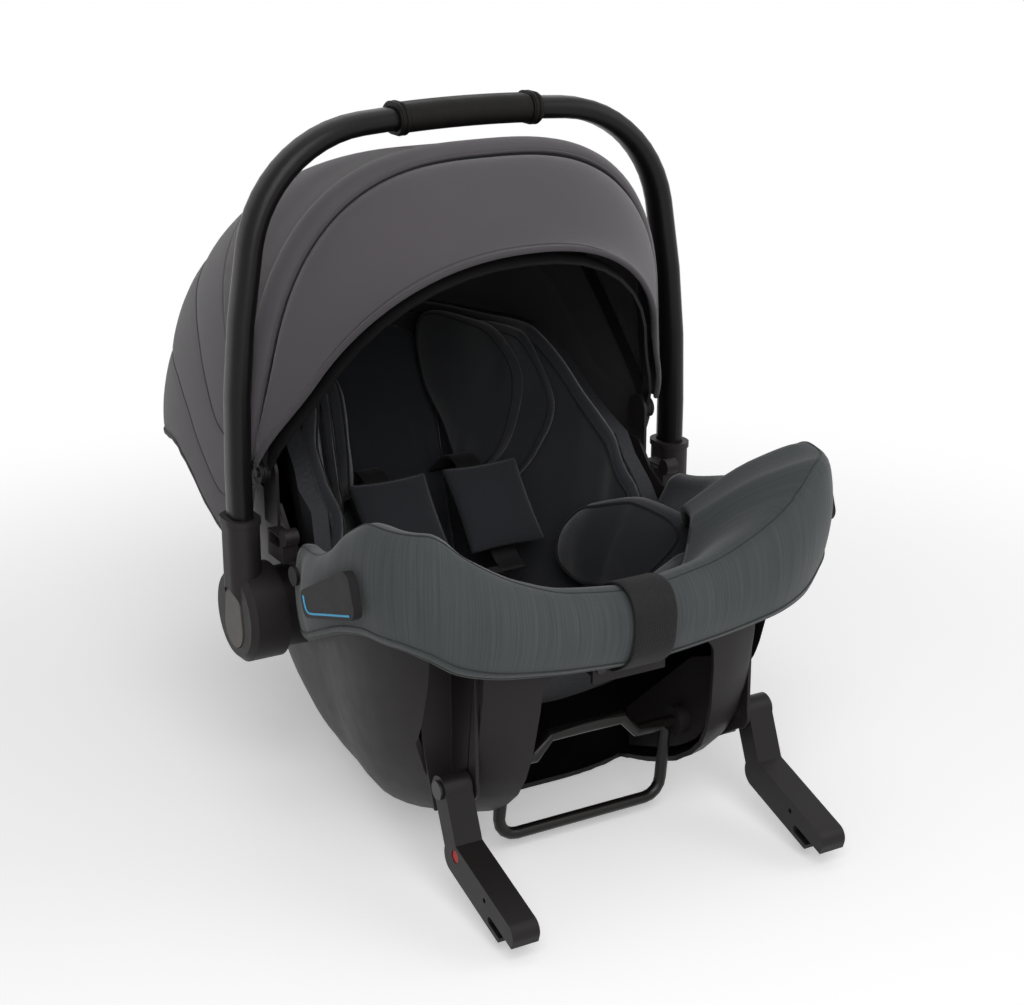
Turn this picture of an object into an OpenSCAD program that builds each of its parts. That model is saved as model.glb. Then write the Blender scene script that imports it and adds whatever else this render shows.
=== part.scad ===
// Infant carrier car seat: moulded shell with a soft liner, carry handle, folding canopy,
// swing-out latch arms and a fold-down recline foot.
// X is across the seat, -Y is the foot end, +Y the head end, +Z up. The origin is on the floor
// under the handle's axis, at the middle of the shell's flat base.

/* [Seat shell] */
// Half width of the shell at its rim
shell_half_w = 176; // [168:1:184]
// Reach of the shell from the handle axis to the foot end
shell_front = 262; // [250:1:275]
// Reach of the shell from the handle axis to the head end
shell_rear = 335; // [322:1:340]
// Wall of the moulded shell
shell_wall = 3; // [2.5:0.5:4]
// Half width of the flat base
base_half_w = 86; // [78:1:92]
// Reach of the flat base in front of the handle axis
base_front = 100; // [90:1:106]
// Reach of the flat base behind the handle axis
base_rear = 112; // [100:1:125]
// Height of the handle axis above the floor
hub_z = 168; // [160:1:176]
// Half width of the opening in the shell's front, at the top
opening_half_w = 78; // [70:1:84]
// Height of the top edge of that opening
opening_top = 180; // [168:1:186]

/* [Soft parts] */
// Thickness of the foam liner
liner_t = 14; // [10:1:16]
// Thickness of the seat cover over the liner
cover_t = 9; // [7:1:11]
// Gap left between layers of the seat
layer_gap = 1; // [0.6:0.1:1.5]
// Height of the seat's foam above the floor
seat_z = 62; // [56:1:68]
// Thickness of the collar's padded fabric
collar_t = 6; // [4:1:8]
// How far the collar's face stands out from the shell
collar_out = 18; // [15:1:21]

/* [Handle] */
// Height of the handle tube's centre at the top
handle_top = 561; // [545:1:575]
// Thickness of the handle tube across its bend
tube_t = 18; // [16:0.5:20]
// Depth of the handle tube from front to back
tube_d = 28; // [25:1:31]
// Wall of the handle tube
tube_wall = 2; // [1.5:0.1:3]
// Radius of the handle's top corners
corner_r = 108; // [95:1:118]
// Length of the grip between its collars
grip_l = 112; // [100:1:130]
// Radius of the handle's hub
hub_r = 40; // [37:0.5:43]
// Depth of the hub from the shell's boss to its rim
hub_depth = 28; // [26:0.5:30]
// Radius of the hub's axle
axle_r = 6; // [5:0.25:7]
// Travel of the release button
button_travel = 3.5; // [2.5:0.25:4]

/* [Canopy] */
// Height of the canopy's pivot above the floor
pivot_z = 284; // [278:1:290]
// Distance of the canopy's pivot behind the handle axis
pivot_y = 6; // [0:1:12]
// Radius of the canopy's roof about the handle axis
roof_r = 366; // [356:1:370]
// Lean of the front bow towards the foot end, in degrees
front_lean = 10; // [6:1:14]
// Lean of the rear bow towards the head end, in degrees
rear_lean = 36; // [30:1:42]
// Lean of the drape's edge towards the foot end, in degrees
drape_lean = 31; // [28:1:36]
// Thickness of the canopy's fabric
fabric_t = 2; // [1.5:0.25:3]
// Width of a canopy bow
bow_w = 12; // [9:1:14]
// Thickness of a canopy bow
bow_t = 2.5; // [2:0.1:2.8]

/* [Latch arms] */
// Spacing of the two latch arms, centre to centre
arm_spacing = 280; // [276:1:284]
// Width of a latch arm
arm_w = 23; // [20:1:25]
// Distance of the arm's pin in front of the handle axis
arm_pin_y = 230; // [224:1:234]
// Height of the arm's pin above the floor
arm_pin_z = 94; // [90:1:100]
// Radius of the arm's pin
arm_pin_r = 5; // [4:0.25:6]
// Radius of the anchor bar that the jaw takes
anchor_r = 3.2; // [3:0.1:3.6]

/* [Recline foot] */
// Diameter of the foot's rod
rod_d = 10; // [8:0.5:11]
// Half width of the foot between the middles of its legs
foot_half_w = 77; // [68:1:78]
// Height of the foot's hinge above the floor
foot_z = 82; // [76:1:88]
// Distance of the foot's hinge in front of the handle axis
foot_y = 196; // [190:1:202]
// Height of the crank in the middle of the hinge bar
crank_h = 15; // [10:1:18]

/* [Hidden] */
$fn = 48;

// Colours
shell_colour = [0.14, 0.13, 0.13];
fabric_colour = [0.30, 0.33, 0.34];
lining_colour = [0.11, 0.12, 0.14];
canopy_colour = [0.28, 0.26, 0.27];
metal_colour = [0.16, 0.15, 0.15];
grip_colour = [0.17, 0.15, 0.12];
plate_colour = [0.33, 0.33, 0.30];
foam_colour = [0.20, 0.20, 0.20];
accent_colour = [0.75, 0.10, 0.10];

// Blending and keyed curves
function lerp(a, b, t) = a + (b - a) * t;
function ease(t) = t * t * (3 - 2 * t);
function between(k, i, v) = lerp(k[i][1], k[i + 1][1], ease((v - k[i][0]) / (k[i + 1][0] - k[i][0])));
function keyed(k, v, i = 0) =
    v <= k[0][0] ? k[0][1]
    : i >= len(k) - 1 ? k[len(k) - 1][1]
    : v <= k[i + 1][0] ? between(k, i, v)
    : keyed(k, v, i + 1);
function unit(v) = v / norm(v);

// Plan outline of the seat: a squarish foot end and a rounder head end about the widest line
plan_mid = -40;
front_square = 4.6;
rear_square = 2.7;
front_flare = 0.1;
function plan(u, a, front, rear) =
    let (c = cos(u), s = sin(u))
    let (b = s < 0 ? front + plan_mid : rear - plan_mid)
    let (w = s < 0 ? a * (1 + front_flare * ease(min(1, -s / 0.6))) : a)
    let (n = s < 0 ? front_square : rear_square)
    let (rho = 1 / pow(pow(abs(c) / w, n) + pow(abs(s) / b, n), 1 / n))
    [rho * c, plan_mid + rho * s];

// Heights around the rim follow the sides by Y and the front by X
corner_y = -shell_front + 45;
function around(u, by_y, by_x) =
    let (p = plan(u, shell_half_w, shell_front, shell_rear))
    p[1] > corner_y ? keyed(by_y, p[1]) : keyed(by_x, abs(p[0]));
rim_by_y = [[corner_y, 276], [-150, 250], [-105, 234], [-60, 224], [-35, 226], [0, 258], [120, 288],
    [250, 298]];
rim_by_x = [[0, 222], [70, 226], [150, 267], [172, 276]];
function rim(u) = around(u, rim_by_y, rim_by_x);

// A bowl's surface: each ring is [half width, front, rear, z at side, z at front, z at rear]
function ring_z(u, g) = let (s = sin(u)) lerp(g[3], s < 0 ? g[4] : g[5], s * s);
function ring_pt(u, g) = let (p = plan(u, g[0], g[1], g[2])) [p[0], p[1], ring_z(u, g)];
function rim_pt(u, inset, drop) =
    let (p = plan(u, shell_half_w - inset, shell_front - inset, shell_rear - inset))
    [p[0], p[1], rim(u) - drop];
function pull_at(u, w) = let (s = sin(u)) lerp(w[0], s < 0 ? w[1] : w[2], s * s);
function conic(b, c, r, w, t) =
    (b * pow(1 - t, 2) + c * 2 * w * t * (1 - t) + r * t * t) / (pow(1 - t, 2) + 2 * w * t * (1 - t) + t * t);
function edge_pt(u, inset, drop) = drop > 0 ? soft_rim_pt(u, inset, drop) : rim_pt(u, inset, 0);
function bowl_row(b, c, inset, drop, w, t) =
    [for (u = [0 : turn_step : 359]) conic(ring_pt(u, b), ring_pt(u, c), edge_pt(u, inset, drop),
        pull_at(u, w), t)];
turn_step = 6;
bowl_steps = 8;

// A solid from a stack of closed loops with the same number of points, capped at both ends
module stack(rows, closed = false) {
    n = len(rows[0]);
    m = len(rows);
    last = (m - 1) * n;
    sides = [for (i = [0 : closed ? m - 1 : m - 2]) for (j = [0 : n - 1])
        let (k = (j + 1) % n, h = (i + 1) % m, a = i * n + j, b = i * n + k, c = h * n + j, d = h * n + k)
        each [[a, d, b], [a, c, d]]];
    caps = closed ? [] : [[for (j = [0 : n - 1]) j], [for (j = [n - 1 : -1 : 0]) last + j]];
    polyhedron(points = [for (r = rows) each r], faces = concat(sides, caps));
}
// A bowl with a wall: its outer rows run up to the rim, its inner rows run down again
module bowl(outer, inner) {
    stack(concat(
        [for (i = [0 : bowl_steps]) bowl_row(outer[0], outer[1], outer[2], outer[3], outer[4],
            i / bowl_steps)],
        [for (i = [bowl_steps : -1 : 0]) bowl_row(inner[0], inner[1], inner[2], inner[3], inner[4],
            i / bowl_steps)]
    ));
}
function grow(g, d, dz) = [g[0] + d, g[1] + d, g[2] + d, g[3] + dz, g[4] + dz, g[5] + dz];

module on_side(side) {
    if (side < 0) mirror([1, 0, 0]) children();
    else children();
}
module along_x(x0, x1, r) { translate([x0, 0, 0]) rotate([0, 90, 0]) cylinder(h = x1 - x0, r = r); }
module rounded_rect(w, h, r) {
    hull() for (x = [-1, 1], y = [-1, 1]) translate([x * (w / 2 - r), y * (h / 2 - r)])
        circle(r = r, $fn = 32);
}

// Shell: a flat base, a chine that lifts towards both ends, and a rim that rises to the head
chine_half_w = 150;
chine_rear = 190;
shell_base = [base_half_w, base_front, base_rear, 0, 0, 0];
shell_chine = [chine_half_w, shell_front - 4, chine_rear, 30, 66, 60];
shell_pull = [2, 3, 1.2];
shell_outer = [shell_base, shell_chine, 0, 0, shell_pull];
shell_inner = [grow(shell_base, -shell_wall, shell_wall), grow(shell_chine, -shell_wall, shell_wall),
    shell_wall, 0, shell_pull];
hub_in = shell_half_w + 8;
boss_r = hub_r - 6;
boss_depth = 34;
spring_seat_r = axle_r + 7;
spring_seat_depth = 9;
arm_x = arm_spacing / 2;
arm_play = 1.5;
part_gap = 0.3;
slot_half_w = arm_w / 2 + arm_play;
slot_back = arm_pin_y - 25;
slot_top = arm_pin_z + 150;
bracket_t = 3;
lobe_r = 11;
lug_gap = 1.5;
lug_l = 9.5;
lug_in = foot_half_w + rod_d / 2 + lug_gap;
lug_out = lug_in + lug_l;
lug_r = rod_d / 2 + 7;
keel_back = base_front + 8;
opening_r = 14;
// Room for a latch arm and its bracket, open to the front
module arm_channel(side, grow_by) {
    w = slot_half_w + bracket_t + grow_by;
    translate([side * arm_x - w, -shell_front - 60, 20])
        cube([2 * w, shell_front + 60 - slot_back + bracket_t + grow_by, slot_top - 20 + grow_by]);
}
module opening_cut() {
    translate([0, -keel_back, 0]) rotate([90, 0, 0]) linear_extrude(shell_front) {
        polygon([[-lug_out, -20], [lug_out, -20], [opening_half_w, opening_top - opening_r],
            [-opening_half_w, opening_top - opening_r]]);
        translate([-opening_half_w + opening_r, opening_top - opening_r - 1])
            square([2 * (opening_half_w - opening_r), opening_r + 1]);
        for (s = [-1, 1]) translate([s * (opening_half_w - opening_r), opening_top - opening_r])
            circle(r = opening_r);
    }
}
module shell() color(shell_colour) difference() {
    bowl(shell_outer, shell_inner);
    for (side = [-1, 1]) {
        arm_channel(side, part_gap);
        on_side(side) translate([0, 0, hub_z])
            along_x(hub_in - boss_depth - 9, hub_in + 9, boss_r + part_gap);
    }
    opening_cut();
}
// Hub bosses: set in the shell's sides, each with an axle bore and a seat for the spring
module hub_bosses() color(shell_colour) for (side = [-1, 1]) on_side(side) translate([0, 0, hub_z])
    difference() {
    along_x(hub_in - boss_depth, hub_in, boss_r);
    along_x(hub_in - boss_depth - 1, hub_in + 1, axle_r);
    along_x(hub_in - spring_seat_depth, hub_in + 1, spring_seat_r);
}
// Arm brackets: two cheeks and a back for each latch arm
cheek_r = lobe_r + 3;
bracket_top = arm_pin_z + 106;
module arm_cheek() {
    translate([-arm_pin_y, arm_pin_z]) circle(r = cheek_r);
    polygon([[-slot_back, arm_pin_z - 32], [-slot_back - 12, arm_pin_z - 24], [-arm_pin_y - 9, arm_pin_z - 9],
        [-arm_pin_y - cheek_r + 1, arm_pin_z + 4], [-arm_pin_y - 12, bracket_top],
            [-slot_back, bracket_top]]);
}
module arm_brackets() color(shell_colour) for (side = [-1, 1]) on_side(side) difference() {
    union() {
        translate([arm_x - slot_half_w - bracket_t, 0, 0]) rotate([90, 0, 90]) linear_extrude(bracket_t)
            arm_cheek();
        translate([arm_x, -slot_back + bracket_t, arm_pin_z]) rotate([90, 0, 0]) linear_extrude(bracket_t)
            polygon([[-slot_half_w - bracket_t, -32], [2, -32], [slot_half_w - 3, 16],
                [slot_half_w + bracket_t, 66],
                [slot_half_w + bracket_t, bracket_top - arm_pin_z],
                    [-slot_half_w - bracket_t, bracket_top - arm_pin_z]]);
    }
    translate([arm_x, -arm_pin_y, arm_pin_z]) along_x(-arm_w, arm_w, arm_pin_r);
}

// Foam liner and seat cover: bowls inside the shell, lifted off its floor
liner_inset = shell_wall + 8 * layer_gap;
liner_drop = 8;
liner_base = [88, 70, 95, seat_z, seat_z, seat_z];
liner_bend = [138, 130, 140, seat_z + 8, seat_z + 18, seat_z + 58];
soft_pull = [1, 1, 1];
cover_off = liner_t + 2 * layer_gap;
cover_inset = liner_inset + cover_off;
cover_drop = liner_drop;
// The soft layers end below the collar's inner edge
soft_by_y = [[corner_y, 236], [-185, 223], [-150, 212], [-105, 210], [-60, 210], [-35, 244], [-20, 262],
    [2, 278],
    [24, 290], [50, 304], [79, 328], [114, 346], [150, 356], [250, 350]];
soft_by_x = [[0, 210], [60, 203], [105, 201], [145, 216], [170, 232]];
// Above the shell's rim the soft layers lean in
soft_lean = 0.5;
function soft_rim_pt(u, inset, drop) =
    let (z = around(u, soft_by_y, soft_by_x) - drop, over = max(0, z - rim(u)) * soft_lean)
    let (p = rim_pt(u, inset + over, 0))
    [p[0], p[1], z];
function lining(d, inset, drop) = [grow(liner_base, -d, d), grow(liner_bend, -d, d), inset, drop, soft_pull];
liner_outer = lining(0, liner_inset, liner_drop);
liner_inner = lining(liner_t, liner_inset + liner_t, liner_drop);
cover_outer = lining(cover_off, cover_inset, cover_drop);
seat_face = lining(cover_off + cover_t, cover_inset + cover_t, cover_drop);
module foam_liner() color(foam_colour) difference() {
    bowl(liner_outer, liner_inner);
    for (side = [-1, 1]) {
        arm_channel(side, layer_gap);
        on_side(side) translate([0, 0, hub_z])
            along_x(hub_in - boss_depth - axle_flange_t - layer_gap, hub_in, boss_r + layer_gap);
    }
}
module seat_cover() color(lining_colour) difference() {
    bowl(cover_outer, seat_face);
    for (side = [-1, 1]) arm_channel(side, 2 * layer_gap);
}

// Pads lie on the seat's face: a patch of it is lifted along its normal, crowned and drawn in
function face_pt(u, t) =
    conic(ring_pt(u, seat_face[0]), ring_pt(u, seat_face[1]), edge_pt(u, seat_face[2], seat_face[3]), 1, t);
function face_normal(u, t) = unit(cross(face_pt(u, t + 0.01) - face_pt(u, t - 0.01),
    face_pt(u + 1, t) - face_pt(u - 1, t)));
// The place up the seat's face that is z high
function face_t(u, z) =
    let (b = face_pt(u, 0)[2], m = face_pt(u, 0.5)[2], r = face_pt(u, 1)[2])
    let (a = 2 * (b + r - 2 * m), k = r - b - a)
    (-k + sqrt(max(0, k * k - 4 * a * (b - z)))) / (2 * a);
function swell(p) = pow(max(0, 1 - pow(abs(p), 3)), 0.5);
module slab(under, over) {
    ni = len(under);
    nj = len(under[0]);
    m = ni * nj;
    grid = [for (i = [0 : ni - 2]) for (j = [0 : nj - 2]) let (a = i * nj + j)
        [a, a + nj, a + nj + 1, a + 1]];
    edge_j = [for (i = [0 : ni - 2]) for (j = [0, nj - 1]) let (a = i * nj + j) j == 0 ? [a + nj, a]
        : [a, a + nj]];
    edge_i = [for (j = [0 : nj - 2]) for (i = [0, ni - 1]) let (a = i * nj + j) i == 0 ? [a, a + 1]
        : [a + 1, a]];
    polyhedron(
        points = concat([for (r = under) each r], [for (r = over) each r]),
        faces = concat(
            [for (g = grid) each [[g[0], g[1], g[2]], [g[0], g[2], g[3]]]],
            [for (g = grid) each [[m + g[2], m + g[1], m + g[0]], [m + g[3], m + g[2], m + g[0]]]],
            [for (e = concat(edge_j, edge_i)) each [[e[0], e[1], m + e[1]], [e[0], m + e[1], m + e[0]]]]
        )
    );
}
// A pad from u0 to u1 around the seat and t0 to t1 up it, with a crown, drawn-in ends and sewn channels.
// With tops, a table of heights by u, it goes from the height t0 up to that line
pad_lift = 4;
pad_edge = 4;
module face_pad(u0, u1, t0, t1, thick, channels = [], draw = 0.12, nu = 14, nt = 9, tops = []) {
    function up_to(u, k) = len(tops) == 0 ? lerp(t0, t1, k)
        : face_t(u, lerp(t0, keyed(tops, min(u, 180 - u)), k));
    function pos(p, q) = let (u = lerp(u0, u1, 0.5 + 0.5 * p * (1 - draw * (1 - q * q))))
        [u, up_to(u, 0.5 + 0.5 * q * (1 - 0.5 * draw * (1 - p * p)))];
    function groove(p) = len(channels) == 0 ? 0 : max([for (c = channels) exp(-pow((p - c) / 0.07, 2))]);
    function height(p, q) = pad_edge + (thick - pad_edge) * swell(p) * swell(q) * (1 - 0.45 * groove(p));
    steps_p = [for (i = [0 : nu]) sin(lerp(-90, 90, i / nu))];
    steps_q = [for (j = [0 : nt]) sin(lerp(-90, 90, j / nt))];
    function at(p, q, h) = let (a = pos(p, q)) face_pt(a[0], a[1]) + face_normal(a[0], a[1]) * (pad_lift + h);
    slab([for (q = steps_q) [for (p = steps_p) at(p, q, 0)]],
        [for (q = steps_q) [for (p = steps_p) at(p, q, height(p, q))]]);
}
back_pad_t = 16;
module back_pad() color(lining_colour) face_pad(73, 107, 0.12, 0.95, back_pad_t, [-0.72, 0.72]);
module head_pad() color(lining_colour) {
    face_pad(46, 69, 0.62, 1, 27, [-0.15], 0.2, 8, 9);
    face_pad(111, 134, 0.62, 1, 27, [0.15], 0.2, 8, 9);
}
// The hip pads are half domes
hip_low = 128;
hip_by_u = [[-34, 212], [-22, 226], [-10, 229], [6, 217], [16, 198], [24, 172]];
module hip_pad() color(lining_colour) {
    face_pad(-34, 24, hip_low, 0, 28, [], 0.1, 10, 8, hip_by_u);
    face_pad(156, 214, hip_low, 0, 28, [], 0.1, 10, 8, hip_by_u);
}
// Bottom pad: rings that swell over the seat's flat
bottom_pad_t = 18;
module bottom_pad() color(lining_colour) {
    z = seat_face[0][3] + pad_lift;
    profile = [[0.86, 0], [0.97, 0.3], [0.98, 0.55], [0.9, 0.82], [0.62, 0.97], [0.25, 1]];
    stack([for (g = profile) [for (u = [0 : 12 : 359])
        let (p = plan(u, seat_face[0][0], seat_face[0][1], seat_face[0][2]))
        [p[0] * g[0], lerp(plan_mid + 45, p[1], g[0]), z + bottom_pad_t * g[1]]]]);
}

// Harness: straps from the back, pads near the buckle, crotch strap and buckle
strap_w = 25;
strap_t = 2;
harness_x = 46;
pad_low = [harness_x, 8, 176];
pad_high = [harness_x, 62, 238];
harness_tilt = atan2(pad_high[2] - pad_low[2], pad_high[1] - pad_low[1]);
harness_pad_w = 74;
harness_pad_t = 16;
module cushion(w, l, t, n = 8) {
    s = [for (i = [0 : n]) sin(lerp(-90, 90, i / n))];
    function at(p, q, k) = [w / 2 * p * (1 - 0.06 * (1 - q * q)), l / 2 * q * (1 - 0.06 * (1 - p * p)),
        k * (1.5 + (t / 2 - 1.5) * swell(p) * swell(q))];
    slab([for (p = s) [for (q = s) at(p, q, -1)]], [for (p = s) [for (q = s) at(p, q, 1)]]);
}
module harness_pad(side) color(lining_colour) {
    mid = (pad_low + pad_high) / 2;
    translate([side * mid[0], mid[1], mid[2]]) rotate([harness_tilt, 0, 0])
        cushion(harness_pad_w, norm(pad_high - pad_low), harness_pad_t);
}
module left_harness_pad() { harness_pad(-1); }
module right_harness_pad() { harness_pad(1); }
// A flat strap along points in a plane of constant X
module ribbon(pts, w, t) {
    n = len(pts);
    function dir(i) = unit(pts[min(i + 1, n - 1)] - pts[max(i - 1, 0)]);
    function up(i) = let (d = dir(i)) [-d[1], d[0]];
    function row(i, k) = [for (x = [w / 2, -w / 2]) [x, pts[i][0] + k * up(i)[0], pts[i][1] + k * up(i)[1]]];
    slab([for (i = [0 : n - 1]) row(i, -t / 2)], [for (i = [0 : n - 1]) row(i, t / 2)]);
}
strap_drop = harness_pad_t / 2 + strap_t;
back_slot = face_pt(90, 0.56) + face_normal(90, 0.56) * (back_pad_t + 6);
module harness_strap(side) color(metal_colour) translate([side * harness_x, 0, 0])
    ribbon([[back_slot[1] - 6, back_slot[2] + 3], [lerp(back_slot[1], pad_high[1], 0.5), pad_high[2] + 2],
        [pad_high[1] + strap_drop, pad_high[2] - strap_drop],
            [pad_low[1] + strap_drop, pad_low[2] - strap_drop],
        [pad_low[1] - 10, pad_low[2] - strap_drop - 8]], strap_w, strap_t);
module left_harness_strap() { harness_strap(-1); }
module right_harness_strap() { harness_strap(1); }
buckle_y = -18;
buckle_z = 142;
buckle_size = [46, 20, 62];
buckle_tilt = 28;
module at_buckle() { translate([0, buckle_y, buckle_z]) rotate([buckle_tilt, 0, 0]) children(); }
button_size = [26, 6, 24];
module buckle_body() color(shell_colour) at_buckle() difference() {
    translate([0, buckle_size[1] / 2, 0]) rotate([90, 0, 0]) linear_extrude(buckle_size[1])
        rounded_rect(buckle_size[0], buckle_size[2], 10);
    translate([0, -buckle_size[1] / 2 + button_size[1] / 2, -8])
        cube([button_size[0] + 0.8, button_size[1] + 0.02, button_size[2] + 0.8], center = true);
    for (s = [-1, 1]) translate([s * 14, 0, buckle_size[2] / 2 - 8]) cube([16, 5, 18], center = true);
}
module buckle_button() color(accent_colour) at_buckle()
    translate([0, -buckle_size[1] / 2 + 1.5, -8]) cube([button_size[0], 3.4, button_size[2]], center = true);
crotch_z = seat_face[0][3] + pad_lift + bottom_pad_t + 1;
module crotch_strap() color(metal_colour) {
    low = buckle_size[2] / 2 + 1;
    foot = [buckle_y + low * sin(buckle_tilt), buckle_z - low * cos(buckle_tilt)];
    ribbon([[foot[0] + 4, crotch_z], [lerp(foot[0] + 4, foot[0], 0.5), lerp(crotch_z, foot[1], 0.4)], foot],
        30, strap_t);
}

// Collar: padded fabric over the rim from hub to hub, around the foot end
collar_end_y = -62;
collar_end = atan2(collar_end_y - plan_mid, shell_half_w);
collar_steps = 34;
top_by_y = [[corner_y, 310], [-185, 296], [-150, 270], [-110, 252], [-60, 242]];
top_by_x = [[0, 243], [60, 250], [105, 266], [145, 290], [172, 310]];
hem_by_y = [[corner_y, 224], [-185, 217], [-140, 198], [-100, 179], [-62, 165]];
hem_by_x = [[0, 184], [60, 188], [113, 195], [133, 199], [153, 205], [172, 218], [185, 224]];
skirt_by_y = [[corner_y, 62], [-100, 32], [-60, 24]];
skirt_by_x = [[0, 34], [150, 62]];
drop_by_y = [[corner_y, 62], [-100, 36], [-60, 30]];
drop_by_x = [[0, 30], [150, 62]];
stand_by_y = [[corner_y, 0.6], [-110, 0.66], [-75, 0.42]];
stand_by_x = [[120, 1], [174, 0.6]];
hem_join = arm_pin_z + 149;
hem_gap = 2.5;
hem_reach = arm_x + slot_half_w + 12;
collar_square = 9;
collar_flare = 0.1;
// Plan of the collar: as the shell's, with squarer corners at the foot end
function collar_plan(u) =
    let (c = cos(u), s = sin(u), b = shell_front + plan_mid)
    let (a = shell_half_w * (1 + collar_flare * ease(min(1, -s / 0.6))))
    let (rho = 1 / pow(pow(abs(c) / a, collar_square) + pow(abs(s) / b, collar_square), 1 / collar_square))
    [rho * c, plan_mid + rho * s];
function along(u, by_y, by_x) =
    let (p = collar_plan(u))
    p[1] > corner_y ? keyed(by_y, p[1]) : keyed(by_x, abs(p[0]));
function rim_normal(u) =
    let (d = collar_plan(u + 1) - collar_plan(u - 1))
    unit([d[1], -d[0]]);
function collar_at(u, o, z) = let (p = collar_plan(u), n = rim_normal(u))
    [p[0] + n[0] * o, p[1] + n[1] * o, z];
function stand(u) = collar_out * along(u, stand_by_y, stand_by_x);
function bulge(f) = -5 + 12 * sin(180 * min(1, f * 0.92 + 0.04));
function collar_face(u, f) = stand(u) + bulge(f) * stand(u) / collar_out;
// Profile of the collar in (out, z), from its lower edge over the top and down inside
function collar_line(u, low) =
    let (top = along(u, top_by_y, top_by_x), hem = along(u, hem_by_y, hem_by_x))
    let (deep = along(u, skirt_by_y, skirt_by_x), fall = along(u, drop_by_y, drop_by_x))
    concat(
        [for (k = [0 : 3]) let (z = lerp(low, top - 10, k / 3)) [collar_face(u, (z - hem) / (top - hem)), z]],
        [[stand(u) - 7, top - 2], [0.25 * stand(u), top], [-10, top - 0.12 * fall],
            [-0.55 * deep, top - 0.42 * fall], [-deep, top - fall]]
    );
function left_normal(line, i) =
    let (d = unit(line[min(i + 1, len(line) - 1)] - line[max(i - 1, 0)])) [-d[1], d[0]];
function sheet_loop(line, t) = concat(line,
    [for (i = [len(line) - 1 : -1 : 0]) line[i] + t * left_normal(line, i)]);
function collar_turns(u0, u1, n) = [for (i = [0 : n]) lerp(u0, u1, i / n)];
function in_front(u, reach) = let (p = collar_plan(u)) p[1] < corner_y && abs(p[0]) < reach;
function cover_low(u) = in_front(u, hem_reach) ? hem_join + hem_gap : along(u, hem_by_y, hem_by_x);
module collar_cover() color(fabric_colour)
    stack([for (u = collar_turns(collar_end, -180 - collar_end, collar_steps))
        [for (q = sheet_loop(collar_line(u, min(cover_low(u), along(u, top_by_y, top_by_x) - 11)), collar_t))
            collar_at(u, q[0], q[1])]]);
function hem_band(u) =
    let (hem = along(u, hem_by_y, hem_by_x), top = along(u, top_by_y, top_by_x))
    let (high = min(hem_join, top - 11 - hem_gap))
    [for (k = [0 : 3]) let (z = lerp(hem, high, k / 3)) [collar_face(u, (z - hem) / (top - hem)), z]];
module collar_hem() color(fabric_colour) {
    turns = [for (u = collar_turns(collar_end, -180 - collar_end, collar_steps))
        if (in_front(u, hem_reach - 12)) u];
    stack([for (u = turns) [for (q = sheet_loop(hem_band(u), collar_t)) collar_at(u, q[0], q[1])]]);
}
// Adjuster strap: a webbing loop over the collar's front edge, held by the bracket
adjuster_w = 38;
module adjuster_strap() color(metal_colour) {
    front = -shell_front - collar_out - 11;
    top = top_by_x[0][1] + 3;
    bottom = hem_by_x[0][1] + 6;
    ribbon([[front + 63, top - 27], [front + 50, top - 11], [front + 36, top - 1.5], [front + 20, top + 1.5],
        [front + 7, top - 3], [front, top - 16], [front - 1, (top + bottom) / 2], [front + 2, bottom + 6],
        [front + 12, bottom - 6], [-shell_front - 4, opening_top - 4],
            [-shell_front + 3.5, opening_top - 6.5]],
        adjuster_w, strap_t);
}
bracket_w = 66;
bracket_h = 24;
bracket_z = opening_top + 8;
bracket_y = -shell_front + shell_wall + 4;
module front_bracket() color(shell_colour) difference() {
    translate([0, bracket_y, bracket_z - bracket_h / 2]) {
        cube([bracket_w, 3, bracket_h], center = true);
        for (s = [-1, 1]) translate([s * (adjuster_w / 2 + 7), 8, 0])
            cube([4, 16, bracket_h - 4], center = true);
    }
    translate([0, bracket_y + 13, bracket_z - bracket_h / 2]) along_x(-bracket_w, bracket_w, cam_pin_r);
}
cam_pin_r = 2.5;
cam_play = 0.06;
module adjuster_cam() color(metal_colour) translate([0, bracket_y + 13, bracket_z - bracket_h / 2]) {
    along_x(-adjuster_w / 2 - 9, adjuster_w / 2 + 9, cam_pin_r - cam_play);
    along_x(-adjuster_w / 2, adjuster_w / 2, 6);
    translate([-adjuster_w / 2, 2, -3]) cube([adjuster_w, 7, 4]);
}

// Belt hooks, belt guides and buckle magnets on the sides
hook_y = -28;
hook_z = 236;
module belt_hook(side) color(shell_colour) on_side(side)
    translate([shell_half_w + 0.6, hook_y, hook_z]) rotate([90, 0, 90]) linear_extrude(12) difference() {
        union() {
            translate([-10, -17]) square([30, 22]);
            translate([-10, 5]) circle(r = 7);
        }
        translate([8, -1]) square([16, 9], center = true);
        translate([0, -1]) circle(r = 4.5);
    }
module belt_hooks() { for (side = [-1, 1]) belt_hook(side); }
guide_u = atan2(-168 - plan_mid, shell_half_w);
guide_size = [92, 36, 7];
guide_tilt = -20;
guide_z = 246;
module guide_shape() {
    hull() {
        for (k = [-1, 1]) translate([-guide_size[0] / 2 + 9, k * (guide_size[1] / 2 - 9)])
            circle(r = 9, $fn = 32);
        for (k = [-1, 1]) translate([guide_size[0] / 2 - 8, k * (guide_size[1] / 4 - 6) - 4])
            circle(r = 8, $fn = 32);
    }
}
module belt_guide(side) color(shell_colour) on_side(side) {
    n = rim_normal(guide_u);
    p = collar_at(guide_u, collar_face(guide_u, 0.5) + 2.2, guide_z);
    translate(p) rotate([0, 0, atan2(n[1], n[0])]) rotate([90, 0, 90]) linear_extrude(guide_size[2])
        rotate(guide_tilt) guide_shape();
}
module belt_guides() { for (side = [-1, 1]) belt_guide(side); }
magnet_u = atan2(-76 - plan_mid, shell_half_w);
magnet_r = 8;
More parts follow.
